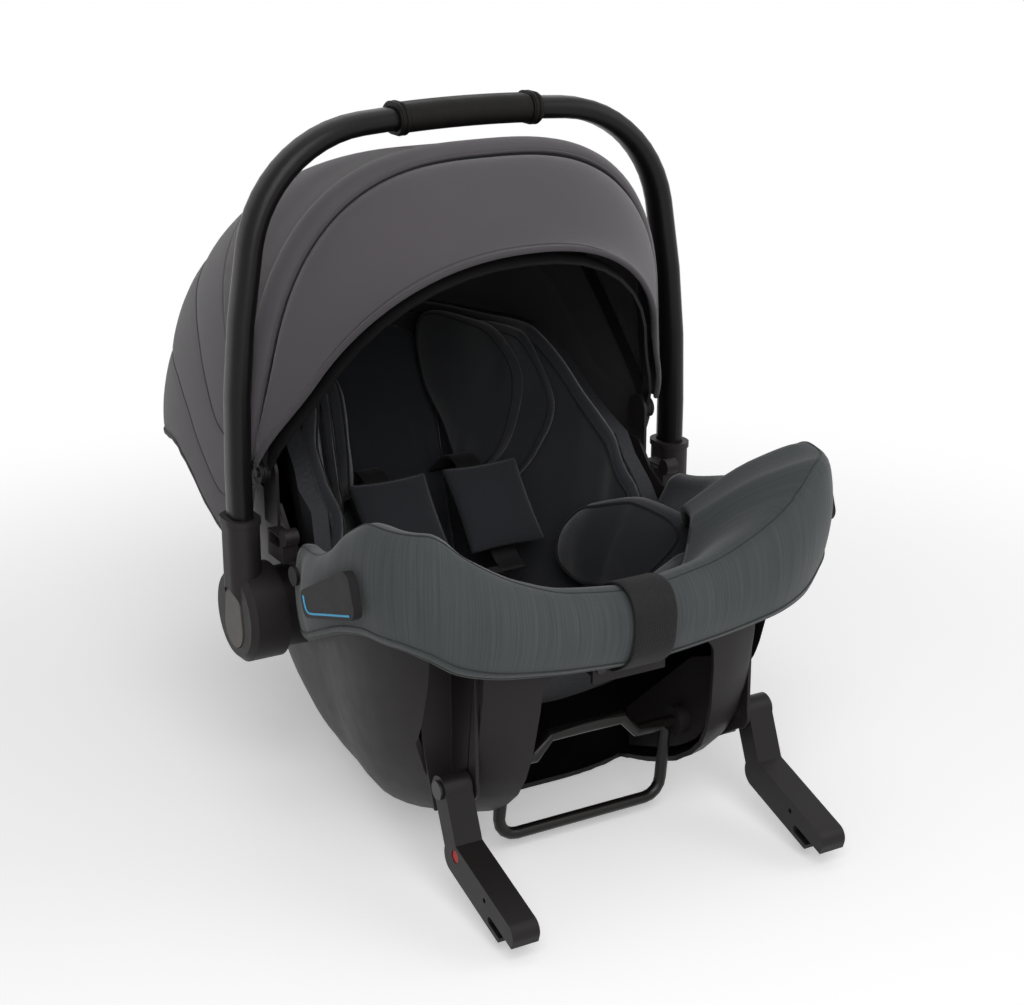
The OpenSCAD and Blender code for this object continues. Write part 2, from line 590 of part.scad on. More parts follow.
module buckle_magnet(side) color(metal_colour) on_side(side) {
    p = collar_at(magnet_u, stand(magnet_u) + 6, along(magnet_u, top_by_y, top_by_x) - 22);
    translate(p) along_x(0, 3, magnet_r);
}
module buckle_magnets() { for (side = [-1, 1]) buckle_magnet(side); }

// Handle hub: shell boss, axle, spring, lock gear, housing with its neck, and release button
hub_gap = 0.4;
hub_face = hub_in + hub_gap;
hub_rim = hub_face + hub_depth;
hub_dome = 5;
axle_flange_t = 3;
gear_r = 20;
gear_teeth = 12;
tooth_w = 5;
tooth_h = 3;
gear_play = 0.4;
gear_t = 5.5;
gear_in = hub_in + button_travel + 1;
gear_out = gear_in + gear_t;
web_in = gear_out + 4;
web_out = web_in + 8;
running = 0.05;
pin_ring_r = 14;
push_pin_r = 2.5;
button_in = web_out + button_travel + 0.5;
button_face = hub_rim + hub_dome + 1;
module gear_shape(grow_by) {
    circle(r = gear_r + grow_by);
    for (i = [0 : gear_teeth - 1]) rotate(360 * i / gear_teeth)
        translate([gear_r + (tooth_h + grow_by) / 2 - 1, 0])
            square([tooth_h + grow_by + 2, tooth_w + 2 * grow_by], center = true);
}
module across(x0, x1) { translate([x0, 0, 0]) rotate([90, 0, 90]) linear_extrude(x1 - x0) children(); }
module button_shape(grow_by) {
    hull() {
        translate([0, 9]) circle(r = 15 + grow_by, $fn = 32);
        translate([0, -10]) circle(r = 18 + grow_by, $fn = 32);
    }
}
module push_pins(x0, x1, r) { for (a = [30, 150, 270]) rotate([a, 0, 0]) translate([0, pin_ring_r, 0])
    along_x(x0, x1, r); }
handle_x = hub_rim - 4;
neck_t = tube_t + 9;
neck_d = tube_d + 9;
neck_top = hub_z + 84;
tube_foot = hub_z + hub_r + 6;
tube_fit = 0.3;
module stadium(t, d) {
    square([t, d - t], center = true);
    for (s = [-1, 1]) translate([0, s * (d - t) / 2]) circle(r = t / 2);
}
module handle_hub(side) color(shell_colour) on_side(side) difference() {
    union() {
        translate([0, 0, hub_z]) {
            along_x(hub_face, hub_rim, hub_r);
            translate([hub_rim, 0, 0]) rotate([0, 90, 0])
                cylinder(h = hub_dome, r1 = hub_r, r2 = hub_r - hub_dome);
        }
        translate([handle_x, 0, hub_z]) linear_extrude(neck_top - hub_z) stadium(neck_t, neck_d);
        translate([handle_x, 0, neck_top - 5]) linear_extrude(5) stadium(neck_t + 2.5, neck_d + 2.5);
    }
    translate([handle_x, 0, tube_foot - tube_fit]) linear_extrude(200)
        stadium(tube_t + 2 * tube_fit, tube_d + 2 * tube_fit);
    translate([0, 0, hub_z]) {
        along_x(hub_face - 20, hub_face + 40, axle_r + running);
        across(hub_face - 20, web_in) gear_shape(gear_play);
        across(web_out, hub_rim + 30) button_shape(0.5);
        push_pins(hub_face, hub_rim, push_pin_r + 0.3);
    }
    translate([hub_face - 40, -neck_d, hub_z]) cube([40, 2 * neck_d, hub_r * 3]);
}
module left_handle_hub() { handle_hub(-1); }
module right_handle_hub() { handle_hub(1); }
module hub_axle(side) color(metal_colour) on_side(side) translate([0, 0, hub_z]) {
    along_x(hub_in - boss_depth, web_out - 1, axle_r);
    along_x(hub_in - boss_depth - axle_flange_t, hub_in - boss_depth, axle_r + 5);
}
module left_hub_axle() { hub_axle(-1); }
module right_hub_axle() { hub_axle(1); }
module lock_gear(side) color(metal_colour) on_side(side) translate([0, 0, hub_z]) difference() {
    across(gear_in, gear_out) gear_shape(0);
    along_x(gear_in - 1, gear_out + 1, axle_r + 0.3);
}
module left_lock_gear() { lock_gear(-1); }
module right_lock_gear() { lock_gear(1); }
module hub_button(side) color(plate_colour) on_side(side) translate([0, 0, hub_z]) {
    across(button_in, button_face) button_shape(0);
    push_pins(gear_out, button_in + 1, push_pin_r);
}
module left_hub_button() { hub_button(-1); }
module right_hub_button() { hub_button(1); }
wire_r = 0.9;
coil_r = axle_r + 3.6;
coil_turns = 4;
coil_sides = 6;
coil_rings = 8;
module hub_spring(side) color(metal_colour) on_side(side) {
    x0 = hub_in - spring_seat_depth + wire_r + 0.2;
    x1 = gear_in - wire_r - 0.2;
    n = coil_turns * coil_rings;
    translate([0, 0, hub_z]) stack([for (i = [0 : n])
        let (a = -360 * coil_turns * i / n, x = lerp(x0, x1, i / n))
        [for (k = [0 : coil_sides - 1]) let (b = 360 * k / coil_sides, r = coil_r + wire_r * cos(b))
            [x + wire_r * sin(b), r * cos(a), r * sin(a)]]]);
}
module left_hub_spring() { hub_spring(-1); }
module right_hub_spring() { hub_spring(1); }

// Handle tube: straight feet, a long side arc, a corner and a long top arc on each side
side_arc_r = 925;
side_turn = 11.3;
top_arc_r = 1250;
corner_x = handle_x - side_arc_r * (1 - cos(side_turn)) - corner_r * cos(side_turn);
top_turn = asin(corner_x / (top_arc_r - corner_r));
arch_h = side_arc_r * sin(side_turn) + corner_r * (cos(top_turn) - sin(side_turn))
    + top_arc_r * (1 - cos(top_turn));
arch_z = handle_top - arch_h;
side_mid = [handle_x - side_arc_r, arch_z];
corner_mid = side_mid + (side_arc_r - corner_r) * [cos(side_turn), sin(side_turn)];
top_mid = [0, handle_top - top_arc_r];
module bend(mid, r, a0, a1) {
    translate([mid[0], 0, mid[1]]) rotate([90, 0, 0]) rotate([0, 0, a0])
        rotate_extrude(angle = a1 - a0, $fn = 96) translate([r, 0]) children();
}
// Points of the handle's line as [x, z, direction in degrees], from the right foot over the top to the left
function arc_line(mid, r, a0, a1, n) = [for (i = [1 : n]) let (a = lerp(a0, a1, i / n))
    [mid[0] + r * cos(a), mid[1] + r * sin(a), a + 90]];
half_line = concat([[handle_x, tube_foot, 90], [handle_x, arch_z, 90]],
    arc_line(side_mid, side_arc_r, 0, side_turn, 3),
    arc_line(corner_mid, corner_r, side_turn, 90 - top_turn, 11),
        arc_line(top_mid, top_arc_r, 90 - top_turn, 90, 4));
handle_line = concat(half_line, [for (i = [len(half_line) - 2 : -1 : 0])
    let (p = half_line[i]) [-p[0], p[1], 360 - p[2]]]);
function stadium_pts(t, d) = [for (s = [1, -1]) for (k = [0 : 6]) let (a = s * 90 - 90 + 30 * k)
    [t / 2 * cos(a), s * (d - t) / 2 + t / 2 * sin(a)]];
function tube_rows(t, d) = [for (p = handle_line) [for (q = stadium_pts(t, d))
    [p[0] + q[0] * sin(p[2]), q[1], p[1] - q[0] * cos(p[2])]]];
module handle_tube() color(metal_colour) {
    skin = tube_rows(tube_t, tube_d);
    bore = tube_rows(tube_t - 2 * tube_wall, tube_d - 2 * tube_wall);
    stack(concat(skin, [for (i = [len(bore) - 1 : -1 : 0]) bore[i]]), closed = true);
}
grip_t = tube_t + 5;
grip_d = tube_d + 6;
grip_turn = asin(grip_l / 2 / top_arc_r);
collar_turn = asin((grip_l / 2 + 9) / top_arc_r);
module sleeve(t, d) {
    difference() {
        stadium(t, d);
        stadium(tube_t + 2 * tube_fit, tube_d + 2 * tube_fit);
    }
}
module handle_grip() color(grip_colour) bend(top_mid, top_arc_r, 90 - grip_turn, 90 + grip_turn)
    sleeve(grip_t, grip_d);
module grip_collars() color(grip_colour) for (s = [0, 1]) {
    a0 = s == 0 ? 90 - collar_turn : 90 + grip_turn;
    span = collar_turn - grip_turn;
    difference() {
        union() {
            bend(top_mid, top_arc_r, a0, a0 + span) stadium(grip_t + 1.5, grip_d + 1.5);
            for (k = [0.3, 0.72]) bend(top_mid, top_arc_r, a0 + (k - 0.13) * span, a0 + (k + 0.13) * span)
                stadium(grip_t + 3.5, grip_d + 3.5);
        }
        bend(top_mid, top_arc_r, a0 - span, a0 + 2 * span)
            stadium(tube_t + 2 * tube_fit, tube_d + 2 * tube_fit);
    }
}

// Canopy: arches in planes through the pivot's axis; a lean towards the head end is positive
canopy_half_w = handle_x - tube_t / 2 - 6;
hem_lean = 103;
function roof_h(lean) =
    let (b = pivot_y * sin(lean) + (pivot_z - hub_z) * cos(lean))
    let (c = pivot_y * pivot_y + pow(pivot_z - hub_z, 2) - roof_r * roof_r)
    -b + sqrt(b * b - c);
drape_fall = [[-drape_lean, 50], [-front_lean, 0]];
narrow_by_lean = [[-drape_lean, 20], [-front_lean, 7], [rear_lean, 5], [hem_lean, 3]];
function narrow(w, lean) = keyed(narrow_by_lean, lean) * ease(min(1, min(w, 180 - w) / 32));
arch_square = [[-drape_lean, 2.25], [-front_lean, 2.85], [rear_lean, 3.1], [hem_lean, 3.8]];
function arch_pt(w, lean, inner) =
    let (a = canopy_half_w - narrow(w, lean) - inner, h = roof_h(lean) - keyed(drape_fall, lean) - inner)
    let (n = keyed(arch_square, lean), rho = 1 / pow(pow(abs(cos(w)) / a, n) + pow(sin(w) / h, n), 1 / n))
    [rho * cos(w), pivot_y + rho * sin(w) * sin(lean), pivot_z + rho * sin(w) * cos(lean)];
arch_from = 5;
arch_cols = 24;
arch_cut = 0.4;
// The rear hem hangs lower near the pivot
hem_by_w = [[5, 148], [23, 121], [41, 104], [50, 98], [90, 100]];
function hem_at(w) = keyed(hem_by_w, min(w, 180 - w));
module panel(lean0, lean1, rows, sag, hem = false) {
    turns = [for (j = [0 : arch_cols]) lerp(arch_from, 180 - arch_from, j / arch_cols)];
    function lean_at(k, w) = lerp(lean0, hem ? hem_at(w) : lean1, k);
    function dip(k, w) = sag * sin(180 * k) * pow(sin(w), 2);
    slab(
        [for (i = [0 : rows]) let (k = i / rows)
            [for (w = turns) arch_pt(w, lean_at(k, w), fabric_t + dip(k, w))]],
        [for (i = [0 : rows]) let (k = i / rows) [for (w = turns) arch_pt(w, lean_at(k, w), dip(k, w))]]
    );
}
module canopy_rear_panel() color(canopy_colour) panel(rear_lean + arch_cut, hem_lean, 8, 2, hem = true);
module canopy_main_panel() color(canopy_colour) panel(-front_lean + arch_cut, rear_lean - arch_cut, 7, 3);
module canopy_drape() color(canopy_colour) panel(-drape_lean, -front_lean - arch_cut, 4, 0);
bow_gap = 2;
pin_r = 4;
pin_play = 0.06;
bow_lug_r = 9;
bow_steps = 24;
function bow_edge(lean, w, d, k) = arch_pt(w, lean, d) + [0, cos(lean), -sin(lean)] * k * bow_w / 2;
module bow(lean, depth) color(shell_colour) {
    turns = [for (j = [0 : bow_steps]) lerp(1.7, 178.3, j / bow_steps)];
    x1 = arch_pt(0, lean, depth)[0];
    slab([for (k = [-1, 1]) [for (w = turns) bow_edge(lean, w, depth + bow_t, k)]],
        [for (k = [-1, 1]) [for (w = turns) bow_edge(lean, w, depth, k)]]);
    for (s = [-1, 1]) on_side(s) translate([0, pivot_y, pivot_z]) difference() {
        along_x(x1 - bow_t, x1, bow_lug_r);
        along_x(x1 - 2 * bow_t, x1 + bow_t, pin_r + pin_play);
    }
}
bow_pitch = bow_t + 0.4;
rear_bow_in = fabric_t + bow_gap;
front_bow_in = rear_bow_in + bow_pitch;
drape_bow_in = front_bow_in + bow_pitch;
module canopy_rear_bow() { bow(rear_lean, rear_bow_in); }
module canopy_front_bow() { bow(-front_lean, front_bow_in); }
module drape_bow() { bow(-drape_lean, drape_bow_in); }
mount_t = 2.6;
mount_r = 13;
mount_drop = 46;
mount_x = shell_half_w + 0.4;
module canopy_mount(side) color(shell_colour) on_side(side) {
    translate([mount_x, pivot_y, pivot_z]) rotate([90, 0, 90]) linear_extrude(mount_t) {
        circle(r = mount_r);
        translate([-mount_r, -mount_drop]) square([2 * mount_r, mount_drop]);
    }
}
module canopy_pins() color(metal_colour) for (s = [-1, 1]) on_side(s) translate([0, pivot_y, pivot_z])
    along_x(mount_x + mount_t, canopy_half_w - fabric_t - 0.3, pin_r);
module left_canopy_mount() { canopy_mount(-1); }
module right_canopy_mount() { canopy_mount(1); }

// Latch arm, drawn in the Y-Z plane: a lobe on the pin, a strap to the knee and a jaw beyond it
knee = [-250, 46];
jaw_dip = 18.4;
jaw_h = 26;
jaw_l = 94;
jaw_seam = 24;
slot_l = 32;
slot_q = -5.6;
low_jaw_short = 17;
hook_s = 50;
hook_q = 4;
hook_slit = 5;
hook_t = 4;
hook_r = 6.5;
hook_l = 22;
hook_pin_r = 2;
indicator_r = 5;
indicator_depth = 7;
arm_pin = [-arm_pin_y, arm_pin_z];
module arm_plane(side, w) {
    translate([side * arm_x - w / 2, 0, 0]) rotate([90, 0, 90]) linear_extrude(w) children();
}
module from_knee() { translate(knee) rotate(180 + jaw_dip) children(); }
module strap_between(a, b, w) {
    d = b - a;
    translate(a) rotate(atan2(d[1], d[0])) translate([0, -w / 2]) square([norm(d), w]);
}
module arm_outline() {
    translate(arm_pin) circle(r = lobe_r);
    strap_between(arm_pin, knee, 2 * lobe_r - 3);
    translate(knee) circle(r = jaw_h / 2);
    from_knee() translate([0, -jaw_h / 2]) square([jaw_seam, jaw_h]);
}
function knee_to(s, q) = knee + [s * cos(180 + jaw_dip) - q * sin(180 + jaw_dip), s * sin(180 + jaw_dip)
    + q * cos(180 + jaw_dip)];
indicator_at = knee_to(3, -4);
module latch_arm(side) color(shell_colour) difference() {
    arm_plane(side, arm_w) difference() {
        arm_outline();
        translate(arm_pin) circle(r = arm_pin_r + running);
    }
    on_side(side) translate([arm_x + arm_w / 2, indicator_at[0], indicator_at[1]])
        along_x(-indicator_depth, 1, indicator_r + 0.1);
}
module left_latch_arm() { latch_arm(-1); }
module right_latch_arm() { latch_arm(1); }
// The jaw is drawn with s along it from the knee and q across it; q is positive on its under side
module jaw_outline() {
    difference() {
        union() {
            translate([jaw_seam, -jaw_h / 2]) square([jaw_l - jaw_seam - 10, jaw_h]);
            translate([jaw_l - 10, -jaw_h / 2 + 10]) circle(r = 10);
            translate([jaw_l - 20, -jaw_h / 2 + 10]) square([20, jaw_h - 18]);
        }
        translate([jaw_l - slot_l, -slot_q]) circle(r = anchor_r);
        translate([jaw_l - slot_l, -slot_q - anchor_r]) square([slot_l + 1, 2 * anchor_r]);
        translate([jaw_l - low_jaw_short, -slot_q]) square([low_jaw_short + 1, jaw_h]);
    }
}
module jaw_cover(side) color(shell_colour) difference() {
    arm_plane(side, arm_w) difference() {
        from_knee() jaw_outline();
        from_knee() translate([hook_s, -hook_q]) circle(r = hook_pin_r + running);
    }
    arm_plane(side, hook_slit) from_knee() translate([hook_s - hook_r - 3, -hook_q - hook_r - 1.5])
        square([hook_r + 3 + norm([hook_l, hook_r]) + 0.6, 2 * hook_r + 9]);
}
module left_jaw_cover() { jaw_cover(-1); }
module right_jaw_cover() { jaw_cover(1); }
module latch_hook(side) color(metal_colour) {
    arm_plane(side, hook_t) from_knee() translate([hook_s, -hook_q]) {
        circle(r = hook_r);
        translate([0, -hook_r]) square([hook_l, 7]);
        translate([hook_l - 6, -hook_r]) square([6, 8.5]);
    }
    arm_plane(side, arm_w - 4) from_knee() translate([hook_s, -hook_q]) circle(r = hook_pin_r);
}
module left_latch_hook() { latch_hook(-1); }
module right_latch_hook() { latch_hook(1); }
module latch_indicator(side) color(accent_colour) on_side(side)
    translate([arm_x + arm_w / 2, indicator_at[0], indicator_at[1]])
        along_x(0.4 - indicator_depth, -0.6, indicator_r);
module left_latch_indicator() { latch_indicator(-1); }
module right_latch_indicator() { latch_indicator(1); }
module arm_pivot(side) color(metal_colour) on_side(side)
    translate([0, -arm_pin_y, arm_pin_z]) {
        along_x(arm_x - slot_half_w - bracket_t, arm_x + arm_w / 2 + 0.5, arm_pin_r);
        along_x(arm_x + arm_w / 2 + 0.5, arm_x + arm_w / 2 + 2.5, arm_pin_r + 2.5);
    }
module left_arm_pin() { arm_pivot(-1); }
module right_arm_pin() { arm_pivot(1); }

// Recline foot: a bent rod with a cranked hinge bar, carried by two lugs
rod_r = rod_d / 2;
foot_lean = -6;
foot_bend_r = 16;
crank_half_w = 34;
crank_slope = 14;
foot_low_y = -foot_y - foot_lean;
foot_low_z = rod_r + 10;
// Half of the foot's line as [x, y, z], from the crank's middle over the leg to the middle of the floor bar
function foot_bend(x, y, z, a0, a1) = [for (i = [0 : 4]) let (a = lerp(a0, a1, i / 4))
    [x + foot_bend_r * cos(a), y, z + foot_bend_r * sin(a)]];
foot_half = concat(
    [[0, -foot_y, foot_z + crank_h], [crank_half_w, -foot_y, foot_z + crank_h],
        [crank_half_w + crank_slope, -foot_y, foot_z],
        [foot_half_w - rod_r - 1, -foot_y, foot_z], [foot_half_w - 0.5, -foot_y, foot_z - rod_r]],
    foot_bend(foot_half_w - foot_bend_r, foot_low_y, foot_low_z + foot_bend_r, 0, -90),
        [[0, foot_low_y, foot_low_z]]);
foot_loop = concat([for (p = foot_half) p],
    [for (i = [len(foot_half) - 2 : -1 : 1]) let (p = foot_half[i]) [-p[0], p[1], p[2]]]);
rod_sides = 12;
function rod_ring(i) =
    let (n = len(foot_loop), p = foot_loop[i], d = unit(foot_loop[(i + 1) % n] - foot_loop[(i + n - 1) % n]))
    let (e = unit(foot_loop[(i + 1) % n] - p), stretch = 1 / max(0.6, d * e))
    let (across = unit([d[2], 0, -d[0]]), deep = cross(d, across))
    [for (k = [0 : rod_sides - 1]) let (a = 360 * k / rod_sides)
        p + rod_r * (across * cos(a) * stretch + deep * sin(a))];
module recline_foot() color(metal_colour) {
    stack([for (i = [0 : len(foot_loop) - 1]) rod_ring(i)], closed = true);
    for (s = [-1, 1]) on_side(s) translate([0, -foot_y, foot_z])
        along_x(foot_half_w - rod_r, lug_out - 0.5, rod_r);
}
module foot_brackets() color(shell_colour) for (s = [-1, 1]) on_side(s) difference() {
    union() {
        translate([0, -foot_y, foot_z]) along_x(lug_in, lug_out + 1, lug_r);
        translate([lug_out + 0.5, 0, 0]) rotate([90, 0, 90]) linear_extrude(bracket_t)
            polygon([[-118, 25], [-167, 43], [-189, 54], [-204, 63], [-217, 73], [-225, 83], [-235, 101],
                [-242, 121],
                [-245, 140], [-248, 158], [-205, 140], [-112, 58]]);
    }
    translate([0, -foot_y, foot_z]) along_x(lug_in - 1, lug_out + 0.4, rod_r + running);
}

// Screws that hold the bracket and the front of the shell
screw_r = 4;
module shell_screws() color(metal_colour) for (x = [-1, 1])
    translate([x * (bracket_w / 2 - 7), bracket_y - 1.6, bracket_z - bracket_h / 2]) rotate([90, 0, 0])
        cylinder(h = 2, r = screw_r);

shell();
foam_liner();
seat_cover();
back_pad();
bottom_pad();
head_pad();
hip_pad();
left_harness_pad();
right_harness_pad();
left_harness_strap();
right_harness_strap();
crotch_strap();
buckle_body();
buckle_button();
collar_cover();
collar_hem();
adjuster_strap();
front_bracket();
adjuster_cam();
belt_hooks();
belt_guides();
buckle_magnets();
hub_bosses();
arm_brackets();
left_hub_axle();
right_hub_axle();
left_hub_spring();
right_hub_spring();
left_canopy_mount();
right_canopy_mount();
canopy_pins();
handle_tube();
handle_grip();
grip_collars();
left_handle_hub();
right_handle_hub();
left_hub_button();
right_hub_button();
left_lock_gear();
right_lock_gear();
canopy_rear_bow();
canopy_front_bow();
drape_bow();
canopy_rear_panel();
canopy_main_panel();
canopy_drape();
left_latch_arm();
right_latch_arm();
left_jaw_cover();
right_jaw_cover();
left_latch_hook();
right_latch_hook();
left_latch_indicator();
right_latch_indicator();
left_arm_pin();
right_arm_pin();
recline_foot();
foot_brackets();
shell_screws();
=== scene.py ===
"""Infant carrier seat: cloth, padding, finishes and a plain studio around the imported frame."""

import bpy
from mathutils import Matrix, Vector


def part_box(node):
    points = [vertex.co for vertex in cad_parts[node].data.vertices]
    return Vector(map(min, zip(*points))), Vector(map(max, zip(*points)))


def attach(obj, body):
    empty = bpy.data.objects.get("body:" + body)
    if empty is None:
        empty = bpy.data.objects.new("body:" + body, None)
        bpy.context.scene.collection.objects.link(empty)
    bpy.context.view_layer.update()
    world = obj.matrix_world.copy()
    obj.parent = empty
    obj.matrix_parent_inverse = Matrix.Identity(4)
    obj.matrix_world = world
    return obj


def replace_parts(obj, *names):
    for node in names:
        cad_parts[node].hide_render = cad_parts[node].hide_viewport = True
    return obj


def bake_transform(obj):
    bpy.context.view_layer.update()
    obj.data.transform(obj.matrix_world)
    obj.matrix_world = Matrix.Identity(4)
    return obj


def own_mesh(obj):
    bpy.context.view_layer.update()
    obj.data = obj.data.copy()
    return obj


bl_info = {
    "name": "Infant Carrier Seat",
    "version": (1, 0, 0),
    "blender": (4, 5, 0),
    "location": "View3D > Sidebar > Carrier",
    "description": "Dresses the carrier's frame with its canopy, collar, pads, straps and finishes",
    "category": "Object",
}

import math

import bmesh
import bpy
import numpy as np
from bpy.props import FloatProperty, FloatVectorProperty, PointerProperty
from mathutils import Vector, noise

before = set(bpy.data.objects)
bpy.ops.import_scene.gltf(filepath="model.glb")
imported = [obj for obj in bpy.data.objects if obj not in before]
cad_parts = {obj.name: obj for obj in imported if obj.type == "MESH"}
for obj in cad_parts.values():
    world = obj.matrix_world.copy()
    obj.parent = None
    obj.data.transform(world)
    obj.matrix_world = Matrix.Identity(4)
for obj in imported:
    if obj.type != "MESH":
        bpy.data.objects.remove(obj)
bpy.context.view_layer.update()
MM = 0.001


def srgb(r, g, b):
    """Linear colour of an 8-bit screen colour."""
    parts = (r / 255, g / 255, b / 255)
    return tuple(c / 12.92 if c <= 0.04045 else ((c + 0.055) / 1.055) ** 2.4 for c in parts)


class CarrierSizes(bpy.types.PropertyGroup):
    ridge_w: FloatProperty(name="Ridge width", description="Width of the canopy's padded front ridge",
                           default=0.028, min=0.01, max=0.04, unit="LENGTH")
    ridge_h: FloatProperty(name="Ridge height", description="How far the ridge stands out from the roof",
                           default=0.008, min=0.0, max=0.01, unit="LENGTH")
    cloth_t: FloatProperty(name="Canopy cloth", description="Thickness of the canopy's cloth",
                           default=0.0016, min=0.0008, max=0.002, unit="LENGTH")
    binding_r: FloatProperty(name="Binding radius", description="Radius of the bound edges and hems",
                             default=0.0024, min=0.001, max=0.004, unit="LENGTH")
    piping_r: FloatProperty(name="Piping radius", description="Radius of the piping round the pads",
                            default=0.0017, min=0.001, max=0.003, unit="LENGTH")
    wing_t: FloatProperty(name="Head wing", description="Thickness of the head insert's wings",
                          default=0.019, min=0.010, max=0.024, unit="LENGTH")
    hip_t: FloatProperty(name="Hip pad", description="Thickness of the hip pads",
                         default=0.028, min=0.015, max=0.03, unit="LENGTH")
    lens: FloatProperty(name="Lens", description="Focal length of the camera on a 36 mm sensor",
                        default=71.6, min=20, max=200)


class CarrierColours(bpy.types.PropertyGroup):
    moulding: FloatVectorProperty(name="Moulding", description="Shell, arms and hubs", subtype="COLOR",
                                  default=srgb(31, 28, 28), min=0, max=1)
    tube: FloatVectorProperty(name="Tube", description="Handle tube", subtype="COLOR",
                              default=srgb(13, 12, 12), min=0, max=1)
    grip: FloatVectorProperty(name="Grip", description="Stitched cover of the handle's grip", subtype="COLOR",
                              default=srgb(15, 13, 12), min=0, max=1)
    plate: FloatVectorProperty(name="Hub plate", description="Release buttons on the hubs", subtype="COLOR",
                               default=srgb(84, 79, 75), min=0, max=1)
    canopy: FloatVectorProperty(name="Canopy", description="Canopy and drape cloth", subtype="COLOR",
                                default=srgb(82, 78, 82), min=0, max=1)
    collar: FloatVectorProperty(name="Collar", description="Heathered cloth of the collar", subtype="COLOR",
                                default=srgb(68, 72, 73), min=0, max=1)
    lining: FloatVectorProperty(name="Lining", description="Seat lining and pads", subtype="COLOR",
                                default=srgb(33, 34, 39), min=0, max=1)
    cushion: FloatVectorProperty(name="Cushion", description="Seat cushion and trim", subtype="COLOR",
                                 default=srgb(52, 54, 60), min=0, max=1)
    accent: FloatVectorProperty(name="Accent", description="Indicators and buckle button", subtype="COLOR",
                                default=srgb(190, 38, 36), min=0, max=1)
    trace: FloatVectorProperty(name="Belt trace", description="Line on the belt guides", subtype="COLOR",
                               default=srgb(70, 170, 215), min=0, max=1)


def sizes():
    return bpy.context.scene.carrier_sizes


def colours():
    return bpy.context.scene.carrier_colours


def mm(length):
    return length / MM


# Shapes of the seat, in millimetres


def lerp(a, b, t):
    return a + (b - a) * t


def ease(t):
    return t * t * (3 - 2 * t)


def keyed(table, v):
    """Value at v of a smooth line through the table's points that never overshoots them."""
    v = min(max(v, table[0][0]), table[-1][0])
    steps = [(b[1] - a[1]) / (b[0] - a[0]) for a, b in zip(table, table[1:])]
    slopes = [0.0] + [2 * a * b / (a + b) if a * b > 0 else 0.0 for a, b in zip(steps, steps[1:])] + [0.0]
    i = max(k for k in range(len(steps)) if table[k][0] <= v)
    (v0, a), (v1, b) = table[i], table[i + 1]
    t = (v - v0) / (v1 - v0)
    bend = t * (1 - t) * (v1 - v0)
    return lerp(a, b, ease(t)) + bend * ((1 - t) * slopes[i] - t * slopes[i + 1])


def hump(x):
    """A round bump from 0 at x = 0 over 1 to 0 at x = 1."""
    return math.sqrt(max(0.0, 1 - (2 * x - 1) ** 2))


def sind(a):
    return math.sin(math.radians(a))


def cosd(a):
    return math.cos(math.radians(a))


SHELL_HALF_W, SHELL_FRONT, SHELL_REAR = 176.0, 262.0, 335.0
PLAN_MID = -40.0
CORNER_Y = -SHELL_FRONT + 45
FRONT_SQUARE, REAR_SQUARE = 4.6, 2.7
FRONT_SPREAD, SPREAD_BY = 0.1, 0.6


def plan(u, half_w, front, rear, square=FRONT_SQUARE):
    """A point of the shell's outline in plan, which is wider and squarer to the front of its middle."""
    c, s = cosd(u), sind(u)
    if s < 0:
        half_l, power = front + PLAN_MID, square
        half_w = half_w * (1 + FRONT_SPREAD * ease(min(1, -s / SPREAD_BY)))
    else:
        half_l, power = rear - PLAN_MID, REAR_SQUARE
    rho = 1 / ((abs(c) / half_w) ** power + (abs(s) / half_l) ** power) ** (1 / power)
    return rho * c, PLAN_MID + rho * s


# Heights of the shell's rim and of the soft rim above it: along the sides by y, across the front by x
RIM_BY_Y = [(CORNER_Y, 276), (-150, 250), (-105, 234), (-60, 224), (-35, 226), (0, 258), (120, 288),
            (250, 298)]
RIM_BY_X = [(0, 222), (70, 226), (150, 267), (172, 276)]
SOFT_BY_Y = [(CORNER_Y, 236), (-185, 223), (-150, 212), (-105, 210), (-60, 210), (-35, 244), (-20, 262),
             (2, 278), (24, 290), (50, 304), (79, 328), (114, 346), (150, 356), (250, 350)]
SOFT_BY_X = [(0, 210), (60, 203), (105, 201), (145, 216), (170, 232)]
SOFT_DROP = 8.0
SOFT_LEAN = 0.5
SEAT_Z = 62.0
# Half width, front and rear of the seat's lower rings, and the chine's rise at the sides, front and rear
BASE_RING, CHINE_RING = (88, 70, 95), (138, 130, 140)
CHINE_RISE = (8, 18, 58)
COVER_DEPTH, COVER_INSET, COVER_T = 16.0, 27.0, 9.0
FACE_Z = SEAT_Z + COVER_DEPTH + COVER_T


def soft_rim(u, inset):
    """The upper edge of the seat's soft layers, which leans in above the shell's rim."""
    x, y = plan(u, SHELL_HALF_W, SHELL_FRONT, SHELL_REAR)
    if y > CORNER_Y:
        z, rim = keyed(SOFT_BY_Y, y), keyed(RIM_BY_Y, y)
    else:
        z, rim = keyed(SOFT_BY_X, abs(x)), keyed(RIM_BY_X, abs(x))
    z -= SOFT_DROP
    inset += SOFT_LEAN * max(0, z - rim)
    x, y = plan(u, SHELL_HALF_W - inset, SHELL_FRONT - inset, SHELL_REAR - inset)
    return np.array((x, y, z))


def ring(u, half_w, front, rear, z_side, z_front, z_rear):
    x, y = plan(u, half_w, front, rear)
    s = sind(u)
    return np.array((x, y, lerp(z_side, z_front if s < 0 else z_rear, s * s)))


def lining_pt(u, t, depth, inset):
    """A point of the seat's soft layers: depth is how far the layer lies inside the foam's outer face."""
    base = ring(u, *(r - depth for r in BASE_RING), *(SEAT_Z + depth,) * 3)
    chine = ring(u, *(r - depth for r in CHINE_RING), *(SEAT_Z + rise + depth for rise in CHINE_RISE))
    return base * (1 - t) ** 2 + chine * 2 * t * (1 - t) + soft_rim(u, inset) * t * t


